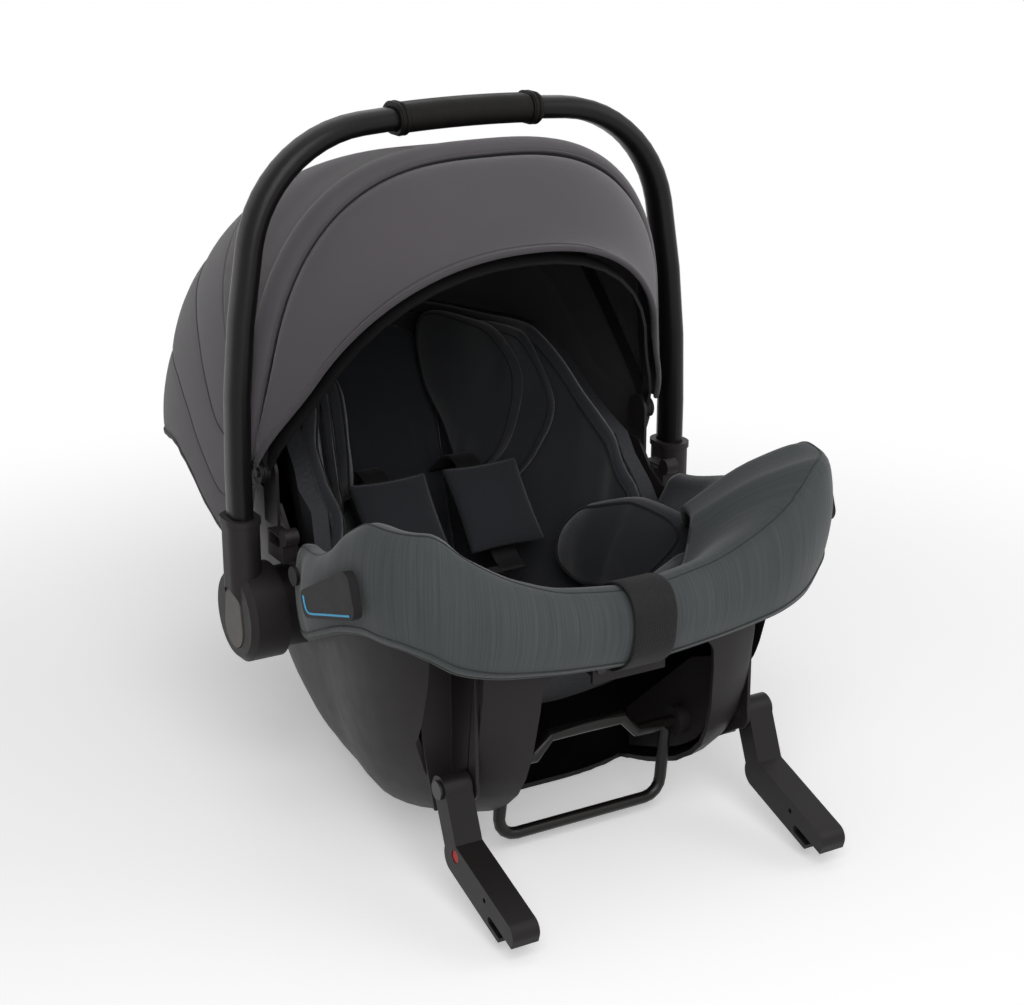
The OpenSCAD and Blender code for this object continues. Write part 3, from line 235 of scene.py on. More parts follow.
def cover_back(u, t):
    return lining_pt(u, t, COVER_DEPTH, COVER_INSET)


def face_pt(u, t):
    return lining_pt(u, t, COVER_DEPTH + COVER_T, COVER_INSET + COVER_T)


def unit(v):
    return v / max(1e-9, np.linalg.norm(v))


def face_normal(u, t, du=1.0, dt=0.01):
    up = face_pt(u, t + dt) - face_pt(u, t - dt)
    return unit(np.cross(up, face_pt(u + du, t) - face_pt(u - du, t)))


def face_t(u, z):
    """How far up the seat's face the height z lies at the turn u."""
    b, m, r = (face_pt(u, t)[2] for t in (0, 0.5, 1))
    a = 2 * (b + r - 2 * m)
    k = r - b - a
    return (-k + math.sqrt(max(0, k * k - 4 * a * (b - z)))) / (2 * a)


# Collar: heights of its crest and hem, its inner skirt's depth and fall, and how far it stands out
COLLAR_OUT, COLLAR_T, COLLAR_END_Y = 18.0, 6.0, -62.0
COLLAR_END = math.degrees(math.atan2(COLLAR_END_Y - PLAN_MID, SHELL_HALF_W))
TOP_BY_Y = [(CORNER_Y, 310), (-185, 296), (-150, 270), (-110, 252), (-60, 242)]
TOP_BY_X = [(0, 243), (60, 250), (105, 266), (145, 290), (172, 310)]
HEM_BY_Y = [(CORNER_Y, 224), (-185, 217), (-140, 198), (-100, 179), (-62, 165)]
HEM_BY_X = [(0, 184), (60, 188), (113, 195), (133, 199), (153, 205), (172, 218), (185, 224)]
SKIRT_BY_Y = [(CORNER_Y, 62), (-100, 32), (-60, 24)]
SKIRT_BY_X = [(0, 34), (150, 62)]
DROP_BY_Y = [(CORNER_Y, 62), (-100, 36), (-60, 30)]
DROP_BY_X = [(0, 30), (150, 62)]
STAND_BY_Y = [(CORNER_Y, 0.6), (-110, 0.66), (-75, 0.42)]
STAND_BY_X = [(120, 1), (174, 0.6)]
COLLAR_SQUARE, SQUARE_FADE = 9.0, 60.0


def collar_plan(u):
    return np.array(plan(u, SHELL_HALF_W, SHELL_FRONT, SHELL_REAR, COLLAR_SQUARE))


def along(u, by_y, by_x):
    x, y = collar_plan(u)
    return keyed(by_y, y) if y > CORNER_Y else keyed(by_x, abs(x))


def rim_normal(u):
    d = collar_plan(u + 1) - collar_plan(u - 1)
    return unit(np.array((d[1], -d[0])))


def collar_at(u, out, z):
    """A point of the collar: outside the rim along its normal, inside it on smaller rims that never cross."""
    if out >= 0:
        x, y = collar_plan(u) + rim_normal(u) * out
    else:
        square = lerp(COLLAR_SQUARE, FRONT_SQUARE, min(1, -out / SQUARE_FADE))
        x, y = plan(u, SHELL_HALF_W + out, SHELL_FRONT + out, SHELL_REAR + out, square)
    return np.array((x, y, z))


def collar_profile(u, rise, fall_rows):
    """The collar's outer line in (out, z): rise points from hem to crest, then fall_rows down inside."""
    top, hem = along(u, TOP_BY_Y, TOP_BY_X), along(u, HEM_BY_Y, HEM_BY_X)
    deep, fall = along(u, SKIRT_BY_Y, SKIRT_BY_X), along(u, DROP_BY_Y, DROP_BY_X)
    out = COLLAR_OUT * along(u, STAND_BY_Y, STAND_BY_X)
    line = []
    for k in range(4):
        z = lerp(hem, top - 10, k / 3)
        f = (z - hem) / (top - hem)
        bulge = 12 * sind(180 * min(1, f * 0.92 + 0.04)) - 5
        line.append((out + bulge * out / COLLAR_OUT, z))
    line += [(0.61 * out, top - 2), (0.25 * out, top), (-10, top - 0.12 * fall)]
    line += [(-0.55 * deep, top - 0.42 * fall), (-deep, top - fall)]
    fine = smooth_line(np.array(line), 1200)
    crest = int(np.argmax(fine[:, 1] + 0.35 * fine[:, 0]))
    up, down = np.linspace(0, crest, rise), np.linspace(crest, len(fine) - 1, fall_rows + 1)
    at = np.concatenate((up, down[1:]))
    return np.stack([np.interp(at, np.arange(len(fine)), fine[:, k]) for k in range(2)], axis=1)


def steps_along(pts):
    """Distance along a line of points, from its first one."""
    return np.concatenate(([0], np.cumsum(np.linalg.norm(np.diff(pts, axis=0), axis=1))))


def smooth_line(pts, count, rounds=2):
    """Corner-cut copy of a line, resampled to count evenly spaced points."""
    pts = np.asarray(pts, float)
    for _ in range(rounds):
        a, b = pts[:-1], pts[1:]
        cut = np.empty((2 * len(a), pts.shape[1]))
        cut[0::2], cut[1::2] = a * 0.75 + b * 0.25, a * 0.25 + b * 0.75
        pts = np.vstack((pts[:1], cut, pts[-1:]))
    far = steps_along(pts)
    at = np.linspace(0, far[-1], count)
    return np.stack([np.interp(at, far, pts[:, k]) for k in range(pts.shape[1])], axis=1)


# Canopy: arches in planes through the pivot's axis, leaning to the head end where the lean is positive
PIVOT_Y, PIVOT_Z, HUB_Z, ROOF_R = 6.0, 284.0, 168.0, 366.0
CANOPY_HALF_W = 193.4
FRONT_LEAN, REAR_LEAN, DRAPE_LEAN, HEM_LEAN = -10.0, 36.0, -31.0, 103.0
NARROW = [(DRAPE_LEAN, 20), (FRONT_LEAN, 7), (REAR_LEAN, 5), (HEM_LEAN, 3)]
FALL = [(DRAPE_LEAN, 50), (FRONT_LEAN, 0)]
ARCH_SQUARE = [(DRAPE_LEAN, 2.25), (FRONT_LEAN, 2.85), (REAR_LEAN, 3.1), (HEM_LEAN, 3.8)]
HEM_BY_W = [(5, 160), (24, 152), (34, 122), (42, 104), (50, 98), (90, 100)]
NARROW_BY = 32.0


def end_fade(w, over):
    """0 at both ends of an arch, rising to 1 over so many degrees of it."""
    return ease(min(1, min(w, 180 - w) / over))


def hem_at(w):
    """The lean of the rear hem, which hangs lower near the pivot."""
    return keyed(HEM_BY_W, min(w, 180 - w))


def arch_pt(w, lean, inner=0.0):
    """A point of the canopy, w degrees round the arch with this lean; inner is its depth under the cloth."""
    b = PIVOT_Y * sind(lean) + (PIVOT_Z - HUB_Z) * cosd(lean)
    roof = -b + math.sqrt(b * b - PIVOT_Y ** 2 - (PIVOT_Z - HUB_Z) ** 2 + ROOF_R ** 2)
    half_w = CANOPY_HALF_W - keyed(NARROW, lean) * end_fade(w, NARROW_BY) - inner
    high = roof - keyed(FALL, lean) - inner
    n = keyed(ARCH_SQUARE, lean)
    rho = 1 / ((abs(cosd(w)) / half_w) ** n + (sind(w) / high) ** n) ** (1 / n)
    up = rho * sind(w)
    return np.array((rho * cosd(w), PIVOT_Y + up * sind(lean), PIVOT_Z + up * cosd(lean)))


def pivot_reach(w, lean):
    p = arch_pt(w, lean)
    return math.hypot(p[1] - PIVOT_Y, p[2] - PIVOT_Z)


class Piece:
    """Collects grids and tubes, in millimetres, and makes one mesh object of them."""

    def __init__(self):
        self.verts, self.faces, self.marks, self.uvs = [], [], [], []

    def grid(self, pts, finish=0, wrap=False, flip=False):
        """A sheet of quads; its cloth coordinates run along both directions in metres."""
        pts = np.asarray(pts, float)
        n, m = pts.shape[:2]
        base = len(self.verts)
        self.verts += [tuple(p) for p in pts.reshape(-1, 3) * MM]
        mid_row, mid_col = pts[n // 2], pts[:, m // 2]
        u, v = steps_along(mid_row) * MM, steps_along(mid_col) * MM
        step = np.linalg.norm(mid_row[-1] - mid_row[0]) * MM
        for i in range(n - 1):
            for j in range(m if wrap else m - 1):
                k = (j + 1) % m
                quad = [base + i * m + j, base + i * m + k, base + (i + 1) * m + k, base + (i + 1) * m + j]
                u1 = u[k] if k else u[-1] + step
                uv = [(u[j], v[i]), (u1, v[i]), (u1, v[i + 1]), (u[j], v[i + 1])]
                if flip:
                    quad, uv = quad[::-1], uv[::-1]
                self.faces.append(quad)
                self.uvs.append(uv)
                self.marks.append(finish)
        return base

    def slab(self, outer, inner, finish=0, inner_finish=None, edge_finish=None):
        """A closed sheet between two grids of the same size."""
        outer, inner = np.asarray(outer, float), np.asarray(inner, float)
        n, m = outer.shape[:2]
        a = self.grid(outer, finish)
        b = self.grid(inner, finish if inner_finish is None else inner_finish, flip=True)
        loop = list(range(m)) + [i * m + m - 1 for i in range(1, n)]
        loop += [(n - 1) * m + j for j in range(m - 2, -1, -1)] + [i * m for i in range(n - 2, 0, -1)]
        for p, q in zip(loop, loop[1:] + loop[:1]):
            self.faces.append([a + q, a + p, b + p, b + q])
            self.uvs.append([(0, 0), (0.002, 0), (0.002, 0.002), (0, 0.002)])
            self.marks.append(finish if edge_finish is None else edge_finish)
        return [a + k for k in loop] + [b + k for k in loop]

    def tube(self, path, radius, finish=0, sides=8, closed=False):
        """A round cord along a path, capped where it is open."""
        path = np.asarray(path, float)
        n = len(path)
        ahead = np.roll(path, -1, 0) - np.roll(path, 1, 0)
        if not closed:
            ahead[0], ahead[-1] = path[1] - path[0], path[-1] - path[-2]
        side = unit(np.cross(ahead[0], (0.31, 0.17, 0.93)))
        turns = np.arange(sides) * 360 / sides
        rows = []
        for p, d in zip(path, ahead):
            d = unit(d)
            side = unit(side - d * np.dot(side, d))
            up = np.cross(d, side)
            rows.append([p + radius * (side * cosd(a) + up * sind(a)) for a in turns])
        if closed:
            rows.append(rows[0])
        base = self.grid(rows, finish, wrap=True, flip=True)
        if not closed:
            for first, order in ((base, 1), (base + (n - 1) * sides, -1)):
                self.faces.append([first + j for j in range(sides)][::order])
                self.uvs.append([(0, 0)] * sides)
                self.marks.append(finish)

    def build(self, name, finishes, body, slot):
        """Makes the object with the named finishes; a pad that is swelled first has no body yet."""
        mesh = bpy.data.meshes.new(name)
        mesh.from_pydata(self.verts, [], self.faces)
        layer = mesh.uv_layers.new(name="cloth")
        layer.data.foreach_set("uv", [c for face in self.uvs for uv in face for c in uv])
        mesh.polygons.foreach_set("material_index", self.marks)
        for finish in finishes:
            mesh.materials.append(FINISHES[finish])
        obj = bpy.data.objects.new(name, mesh)
        bpy.context.scene.collection.objects.link(obj)
        work = bmesh.new()
        work.from_mesh(mesh)
        bmesh.ops.remove_doubles(work, verts=work.verts, dist=1e-6)
        bmesh.ops.recalc_face_normals(work, faces=work.faces)
        work.to_mesh(mesh)
        work.free()
        mesh.shade_smooth()
        if body:
            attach(obj, body)
        return obj


SWELL_FRAMES, SWELL_PRESSURE = 16, 3.0


def puff(obj, cap, held):
    """Swells a pad with a short cloth run; held points stay, and no point moves further than cap metres."""
    scene = bpy.context.scene
    mesh = obj.data
    rest = np.array([v.co for v in mesh.vertices])
    group = obj.vertex_groups.new(name="held")
    group.add([int(k) for k in held], 1.0, "ADD")
    cloth = obj.modifiers.new("Swell", "CLOTH")
    cloth.settings.quality = 4
    cloth.settings.mass = 0.2
    cloth.settings.use_pressure = True
    cloth.settings.uniform_pressure_force = SWELL_PRESSURE
    cloth.settings.effector_weights.gravity = 0
    cloth.settings.vertex_group_mass = "held"
    cloth.settings.tension_stiffness = cloth.settings.compression_stiffness = 12
    cloth.settings.bending_stiffness = 2
    cloth.point_cache.frame_start, cloth.point_cache.frame_end = 1, SWELL_FRAMES
    for f in range(1, SWELL_FRAMES + 1):
        scene.frame_set(f)
    seen = obj.evaluated_get(bpy.context.evaluated_depsgraph_get())
    moved = np.array([v.co for v in seen.data.vertices]) - rest
    far = np.linalg.norm(moved, axis=1, keepdims=True)
    moved *= np.minimum(1, cap / np.maximum(far, 1e-9))
    obj.modifiers.remove(cloth)
    mesh.vertices.foreach_set("co", (rest + moved).ravel())
    mesh.update()
    scene.frame_set(1)


def stuff(obj, cap, held):
    """Swells and rounds a pad, and lets it ride the seat."""
    puff(obj, cap, held)
    rounding = obj.modifiers.new("Soften", "SUBSURF")
    rounding.levels = rounding.render_levels = 1
    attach(obj, "seat")


# Finishes

FINISHES = {}
# Metres between the ridges of a wave texture of scale 1
WAVE_PITCH = 0.314


def add(tree, kind, sockets=None, **settings):
    """Adds a shader node; a socket's value is a constant or another node's output."""
    node = tree.nodes.new("ShaderNode" + kind)
    for key, value in settings.items():
        setattr(node, key, value)
    for key, value in (sockets or {}).items():
        if isinstance(value, bpy.types.NodeSocket):
            tree.links.new(value, node.inputs[key])
        else:
            node.inputs[key].default_value = value
    return node


def shade(colour, factor):
    return tuple(min(1, c * factor) for c in colour[:3]) + (1,)


class Finish:
    """A Principled finish whose colour, roughness and bump are built from texture nodes."""

    def __init__(self, name, roughness, metallic=0.0, sheen=0.0, coat=0.0, specular=0.5):
        self.material = bpy.data.materials.new(name)
        self.material.use_nodes = True
        self.tree = self.material.node_tree
        self.shader = self.tree.nodes["Principled BSDF"]
        for key, value in (("Roughness", roughness), ("Metallic", metallic), ("Sheen Weight", sheen),
                           ("Coat Weight", coat), ("Specular IOR Level", specular)):
            self.shader.inputs[key].default_value = value
        if sheen:
            self.shader.inputs["Sheen Roughness"].default_value = 0.45
        if coat:
            self.shader.inputs["Coat Roughness"].default_value = 0.25

    def place(self, scale=(1, 1, 1), cloth=False):
        if cloth:
            source = add(self.tree, "UVMap", uv_map="cloth").outputs["UV"]
        else:
            source = add(self.tree, "TexCoord").outputs["Object"]
        return add(self.tree, "Mapping", {"Vector": source, "Scale": scale}).outputs["Vector"]

    def speckle(self, scale, detail=3.0, stretch=(1, 1, 1), cloth=False):
        sockets = {"Vector": self.place(stretch, cloth), "Scale": scale, "Detail": detail, "Roughness": 0.55}
        return add(self.tree, "TexNoise", sockets).outputs["Fac"]

    def ribs(self, pitch, direction, distortion=0.0):
        """Parallel ridges in the cloth, pitch metres apart."""
        sockets = {"Vector": self.place(cloth=True), "Scale": WAVE_PITCH / pitch, "Distortion": distortion}
        return add(self.tree, "TexWave", sockets, bands_direction=direction).outputs["Fac"]

    def mix(self, kind, a, b):
        return add(self.tree, "Math", {0: a, 1: b}, operation=kind).outputs["Value"]

    def tint(self, fac, low, high, at=(0.3, 0.7)):
        ramp = add(self.tree, "ValToRGB", {"Fac": fac})
        for stop, pos, colour in zip(ramp.color_ramp.elements, at, (low, high)):
            stop.position, stop.color = pos, colour
        self.tree.links.new(ramp.outputs["Color"], self.shader.inputs["Base Color"])

    def gloss(self, fac, low, high):
        span = add(self.tree, "MapRange", {"Value": fac, "To Min": low, "To Max": high})
        self.tree.links.new(span.outputs["Result"], self.shader.inputs["Roughness"])

    def emboss(self, height, depth, strength=0.6):
        bump = add(self.tree, "Bump", {"Height": height, "Distance": depth, "Strength": strength})
        self.tree.links.new(bump.outputs["Normal"], self.shader.inputs["Normal"])


def moulded(name, colour, roughness=0.48, grain=2200, depth=0.00012, worn=0.1):
    f = Finish(name, roughness, specular=0.22)
    f.tint(f.speckle(9, 4), shade(colour, 1 - worn), shade(colour, 1 + worn))
    f.gloss(f.speckle(60, 3), roughness - 0.06, roughness + 0.08)
    f.emboss(f.speckle(grain, 2), depth)
    return f.material


def drawn_tube(name, colour):
    f = Finish(name, 0.36, coat=0.05, specular=0.18)
    f.tint(f.speckle(12, 3), shade(colour, 0.9), shade(colour, 1.12))
    f.gloss(f.speckle(300, 2), 0.3, 0.42)
    f.emboss(f.speckle(1800, 2), 0.00004)
    return f.material


def leatherette(name, colour):
    f = Finish(name, 0.5, specular=0.14)
    cells = add(f.tree, "TexVoronoi", {"Vector": f.place(), "Scale": 520.0}, feature="DISTANCE_TO_EDGE")
    f.tint(f.speckle(70, 4), shade(colour, 0.82), shade(colour, 1.2))
    f.gloss(f.speckle(90, 3), 0.42, 0.6)
    f.emboss(f.mix("MINIMUM", cells.outputs["Distance"], 0.25), 0.0006, 0.8)
    return f.material


def knit(name, colour, pitch=0.0009, sheen=0.25, vary=0.1, roughness=0.85):
    """Fine stretch cloth: crossed ribs with a soft colour drift."""
    f = Finish(name, roughness, sheen=sheen, specular=0.25)
    weave = f.mix("MULTIPLY", f.ribs(pitch, "X"), f.ribs(pitch, "Y"))
    flecks = f.speckle(1400, 2, cloth=True)
    drift = f.mix("ADD", f.mix("MULTIPLY", flecks, 0.55), f.mix("MULTIPLY", f.speckle(16, 3), 0.45))
    f.tint(drift, shade(colour, 1 - vary), shade(colour, 1 + vary))
    f.gloss(flecks, roughness - 0.06, min(1, roughness + 0.06))
    f.emboss(weave, 0.0003, 0.5)
    return f.material


def heathered(name, colour):
    """Melange cloth with fine upright streaks of lighter and darker yarn."""
    f = Finish(name, 0.88, sheen=0.2, specular=0.22)
    yarn = f.speckle(1.0, 2, (750, 16, 1), cloth=True)
    broad = f.speckle(1.0, 3, (420, 9, 1), cloth=True)
    mixed = f.mix("ADD", f.mix("MULTIPLY", yarn, 0.65), f.mix("MULTIPLY", broad, 0.35))
    f.tint(mixed, shade(colour, 0.82), shade(colour, 1.2), (0.36, 0.64))
    f.gloss(yarn, 0.8, 0.95)
    f.emboss(f.mix("ADD", yarn, f.mix("MULTIPLY", f.ribs(0.001, "Y"), 0.4)), 0.0004, 0.55)
    return f.material


def webbing(name, colour):
    f = Finish(name, 0.7, sheen=0.05, specular=0.2)
    chevron = f.ribs(0.0013, "DIAGONAL", distortion=0.3)
    f.tint(chevron, shade(colour, 0.85), shade(colour, 1.2))
    f.gloss(f.speckle(500, 2), 0.5, 0.72)
    f.emboss(f.mix("ADD", chevron, f.ribs(0.0016, "Y")), 0.0003, 0.6)
    return f.material


def coated_rod(name, colour):
    f = Finish(name, 0.3, metallic=0.3, coat=0.12, specular=0.3)
    f.tint(f.speckle(40, 3), shade(colour, 0.85), shade(colour, 1.15))
    f.gloss(f.speckle(220, 3), 0.26, 0.4)
    f.emboss(f.speckle(900, 2), 0.00003)
    return f.material


def bead_foam(name, colour):
    f = Finish(name, 0.8)
    beads = add(f.tree, "TexVoronoi", {"Vector": f.place(), "Scale": 260.0}).outputs["Distance"]
    # The bead middles are painted lighter and the sunken bead edges darker: painted shade between the beads.
    f.tint(beads, shade(colour, 1.15), shade(colour, 0.75), (0.1, 0.8))
    f.emboss(beads, -0.0006, 0.8)
    return f.material


def make_finishes():
    c = colours()
    FINISHES.update(
        moulding=moulded("moulded_shell", c.moulding),
        arm=moulded("moulded_arm", shade(c.moulding, 0.8), 0.4, 2600, 0.00008),
        tile=moulded("belt_tile", shade(c.moulding, 0.6), 0.55, 1600, 0.00005),
        plate=moulded("hub_plate", c.plate, 0.42, 2400, 0.00008),
        accent=moulded("red_indicator", c.accent, 0.35, 1500, 0.00004),
        trace=moulded("belt_trace", c.trace, 0.4, 1500, 0.00003, 0.05),
        tube=drawn_tube("handle_tube_finish", c.tube),
        grip=leatherette("grip_cover", c.grip),
        steel=coated_rod("dark_steel", srgb(48, 46, 46)),
        rod=coated_rod("coated_rod", srgb(24, 22, 21)),
        bow=moulded("bow_strip", srgb(17, 16, 17), 0.6, 1800, 0.00004),
        foam=bead_foam("bead_foam", shade(c.lining, 0.8)),
        canopy=knit("canopy_cloth", c.canopy, 0.0008, 0.35, 0.07),
        canopy_in=knit("canopy_lining", shade(c.canopy, 0.3), 0.0012, 0.1, 0.12, 0.92),
        canopy_trim=knit("canopy_binding", shade(c.canopy, 0.8), 0.0011, 0.2, 0.1),
        collar=heathered("collar_cloth", c.collar),
        collar_trim=knit("collar_binding", shade(c.collar, 0.5), 0.001, 0.15, 0.12),
        lining=knit("seat_lining", c.lining, 0.001, 0.3, 0.12),
        cushion=knit("seat_cushion", c.cushion, 0.0012, 0.3, 0.12),
        webbing=webbing("strap_webbing", srgb(19, 19, 20)),
        thread=knit("seam_thread", shade(c.lining, 0.6), 0.0006, 0.1, 0.1),
    )


# Carried parts

SIDES = (("left", -1), ("right", 1))


def both(*names):
    """The names of the pieces that there is one of on each side."""
    return tuple(side + "_" + name for name in names for side, mirror in SIDES)


NODE_FINISH = {
    "moulding": ("shell", "hub_bosses", "arm_brackets", "foot_brackets", "front_bracket", "belt_hooks",
                 "buckle_body") + both("canopy_mount", "handle_hub"),
    "foam": ("foam_liner",),
    "bow": ("canopy_rear_bow", "canopy_front_bow", "drape_bow", "canopy_pins"),
    "arm": both("latch_arm", "jaw_cover"),
    "tile": ("belt_guides", "buckle_magnets"),
    "plate": both("hub_button"),
    "accent": both("latch_indicator") + ("buckle_button",),
    "tube": ("handle_tube",),
    "grip": ("handle_grip", "grip_collars"),
    "rod": ("recline_foot",),
    "steel": both("hub_axle", "lock_gear", "latch_hook", "arm_pin") + ("shell_screws", "adjuster_cam"),
}
FINE_EDGE, SHARP_ANGLE = 0.4, 32.0
EDGE_ROUND = {"belt_guides": 1.8, "buckle_body": 1.5, "handle_grip": 1.2, "shell": 0.9, "foot_brackets": 0.8,
              "front_bracket": 0.8, "grip_collars": 0.7, "arm_brackets": 0.6, "buckle_button": 0.5}
EDGE_ROUND.update(dict.fromkeys(both("handle_hub", "latch_arm", "jaw_cover"), 1.6))
EDGE_ROUND.update(dict.fromkeys(both("hub_button"), 1.4))


class CARRIER_OT_carried_parts(bpy.types.Operator):
    """Gives the carried solid parts their finishes and rounds their edges"""

    bl_idname = "carrier.carried_parts"
    bl_label = "Carried parts"

    def execute(self, context):
        make_finishes()
        for finish, names in NODE_FINISH.items():
            for name in names:
                self.dress(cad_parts[name], FINISHES[finish], EDGE_ROUND.get(name, FINE_EDGE) * MM)
        return {"FINISHED"}

    def dress(self, obj, finish, edge):
        obj.data.materials.clear()
        obj.data.materials.append(finish)
        normals = obj.data.attributes.get("custom_normal")
        if normals:
            obj.data.attributes.remove(normals)
        obj.data.shade_smooth()
        weld = obj.modifiers.new("Weld", "WELD")
        weld.merge_threshold = 0.00001
        bevel = obj.modifiers.new("Round", "BEVEL")
        bevel.width = edge
        bevel.segments = 2
        bevel.limit_method = "ANGLE"
        bevel.angle_limit = math.radians(SHARP_ANGLE)
        bevel.harden_normals = True
        bevel.use_clamp_overlap = True


# Canopy


def wrinkle(p, depth):
    return depth * noise.noise(Vector(p))


CANOPY_COLS, FIRST_COL, PANEL_ROWS = 97, 3.5, 24
RIDGE_ROWS = (0, 0.03, 0.09, 0.18, 0.3, 0.42, 0.55, 0.68, 0.8, 0.89, 0.95, 0.98, 1.0)
REAR_SEAMS, SEAM_ROWS = (0.0, 0.36, 0.72, 1.0), 12
BUNCH_LEAN = 82.0


class CARRIER_OT_canopy(bpy.types.Operator):
    """Builds the canopy's three panels with their ridge, seams, hems and lining"""

    bl_idname = "carrier.canopy"
    bl_label = "Canopy"

    def execute(self, context):
        self.main_panel()
        self.drape()
        self.rear_panel()
        return {"FINISHED"}

    def sheet_of(self, name, rows, node, bodies, leans, held_by, trim):
        """One panel. rows are (lean, depth) functions of the column's angle, and trim its seams and hems as
        (row, radius, sides)."""
        turns = [lerp(FIRST_COL, 180 - FIRST_COL, j / (CANOPY_COLS - 1)) for j in range(CANOPY_COLS)]
        thick = mm(sizes().cloth_t)
        outer = [[arch_pt(w, lean(w), inner(w)) for w in turns] for lean, inner in rows]
        under = [[arch_pt(w, lean(w), inner(w) + thick) for w in turns] for lean, inner in rows]
        piece = Piece()
        piece.slab(outer, under, 0, 1, 2)
        for row, radius, sides in trim:
            piece.tube(outer[row], radius, 2, sides)
        obj = piece.build(name, ("canopy", "canopy_in", "canopy_trim"), None, "canopy_fabric")
        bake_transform(obj)
        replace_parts(obj, node)

    def main_panel(self):
        """The roof between the front and rear bows, with a padded ridge along its front."""
        wide, high = mm(sizes().ridge_w), mm(sizes().ridge_h)

        def from_front(d):
            return lambda w: FRONT_LEAN + math.degrees(d / max(70, pivot_reach(w, FRONT_LEAN)))

        def depth(d):
            return lambda w: d * end_fade(w, 10)

        def to_rear(k):
            return lambda w: lerp(ridge_back(w), REAR_LEAN - 0.4, k)

        def sag(k):
            arc = math.sin(math.pi * k)
            return lambda w: 3.0 * arc * sind(w) ** 2 + wrinkle((w * 0.05, k * 3, 1.7), 0.8) * arc

        ridge_back = from_front(wide)
        rows = [(from_front(5), depth(4.5))]
        rows += [(from_front(x * wide), depth(1.5 * (x > 0.97) - high * hump(x))) for x in RIDGE_ROWS]
        rows += [(to_rear(i / PANEL_ROWS), sag(i / PANEL_ROWS)) for i in range(1, PANEL_ROWS + 1)]
        self.sheet_of("canopy_roof", rows, "canopy_main_panel", ("canopy_rear", "canopy_front"),
                      (REAR_LEAN, FRONT_LEAN), ["canopy_rear_bow", "canopy_front_bow"],
                      ((1, 1.1, 6), (len(RIDGE_ROWS), 1.1, 6)))

    def drape(self):
        """The panel from under the ridge to the drape's bow, with a bound and stitched front edge."""
        def forward(k):
            return lambda w: lerp(FRONT_LEAN + 1.4, DRAPE_LEAN - 0.6, k)

        def tuck(k):
            deep, arc = 5.0 * max(0, 1 - k / 0.3) ** 2, math.sin(math.pi * k)
            return lambda w: (deep * end_fade(w, 25) + 1.5 * arc * sind(w)
                              + wrinkle((w * 0.06, k * 2, 9.1), 0.7) * arc)

        rows = [(forward(i / PANEL_ROWS), tuck(i / PANEL_ROWS)) for i in range(PANEL_ROWS + 1)]
        self.sheet_of("canopy_front_drape", rows, "canopy_drape", ("canopy_front", "canopy_edge"),
                      (FRONT_LEAN, DRAPE_LEAN), ["canopy_front_bow", "drape_bow"],
                      ((-1, mm(sizes().binding_r), 8), (-3, 0.7, 6)))

    def rear_panel(self):
        """The panel from the rear bow down to the hem at the head end, in three swelled parts."""
        def part_way(k):
            return lambda w: lerp(REAR_LEAN + 0.4, hem_at(w), k)

        def swell(part, k):
            high = 3.4 * hump(k) * (0.4 if part == 0 else 1.0)
            return lambda w: 2.0 - high * sind(w) + wrinkle((w * 0.05, k * 2, 7.0 * part), 1.0) * k * sind(w)

        rows = []
        for part, (a, b) in enumerate(zip(REAR_SEAMS, REAR_SEAMS[1:])):
            for k in (j / SEAM_ROWS for j in range(SEAM_ROWS)):
                rows.append((part_way(lerp(a, b, k)), swell(part, k)))
        rows.append((part_way(1.0), lambda w: 2.0 + 0.5 * math.sin(w * 1.9) * sind(w)))
        seams = [(k * SEAM_ROWS, 1.0, 6) for k in range(len(REAR_SEAMS))]
        self.sheet_of("canopy_back", rows, "canopy_rear_panel", ("seat", "canopy_rear"),
                      (BUNCH_LEAN, REAR_LEAN), ["canopy_rear_bow", "shell"],
                      seams + [(-1, mm(sizes().binding_r) * 0.8, 8)])


# Seat lining and pads

BRACKET_X, BRACKET_HALF_W, BRACKET_BACK, BRACKET_TOP = 140.0, 19.0, -197.0, 240.0
LINING_ROWS, LINING_STEP = 26, 2.5
ROLL = 4.0


def clear_of_brackets(p, margin):
    """Moves a point of the lining behind the arm brackets in the shell's front corners."""
    near = min(1, max(0, (BRACKET_HALF_W + 14 - abs(abs(p[0]) - BRACKET_X)) / 14))
    near *= min(1, max(0, (BRACKET_TOP + 12 - p[2]) / 12))
    back = BRACKET_BACK + margin
    if p[1] < back:
        p = np.array((p[0], lerp(p[1], back, ease(near)), p[2]))
    return p


class CARRIER_OT_seat_lining(bpy.types.Operator):
    """Builds the fitted seat lining as a soft bowl with a rolled upper edge and seams"""

    bl_idname = "carrier.seat_lining"
    bl_label = "Seat lining"

    def execute(self, context):
        turns = np.arange(0, 360, LINING_STEP)
        climb = [k / LINING_ROWS for k in range(LINING_ROWS + 1)]
        rows = [[clear_of_brackets(cover_back(u, t), 1.0) for u in turns] for t in climb]
        rows += [[self.rolled_edge(u, a) for u in turns] for a in (30, 90, 150)]
        rows += [[clear_of_brackets(face_pt(u, t), COVER_T) for u in turns] for t in climb[::-1]]
        piece = Piece()
        piece.grid(rows, 0, wrap=True)
        for row in (rows[0], rows[-1]):
            mid = np.mean(row, axis=0)
            piece.grid([[lerp(p, mid, k) for p in row] for k in (0, 0.5, 0.98)], 0, wrap=True)
        seam = [clear_of_brackets(face_pt(u, 0.985), COVER_T) + face_normal(u, 0.97) for u in turns]
        piece.tube(seam, 1.2, 1, 6, closed=True)
        obj = piece.build("seat_lining", ("lining", "thread"), "seat", "lining")
        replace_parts(obj, "seat_cover")
        return {"FINISHED"}

    def rolled_edge(self, u, a):
        """A point of the lining's upper edge, a degrees over from its outer to its inner face."""
        outer, inner = cover_back(u, 1), face_pt(u, 1)
        over = (outer - inner) / 2 * cosd(a) + np.array((0, 0, ROLL * sind(a)))
        return clear_of_brackets((outer + inner) / 2 + over, ROLL)


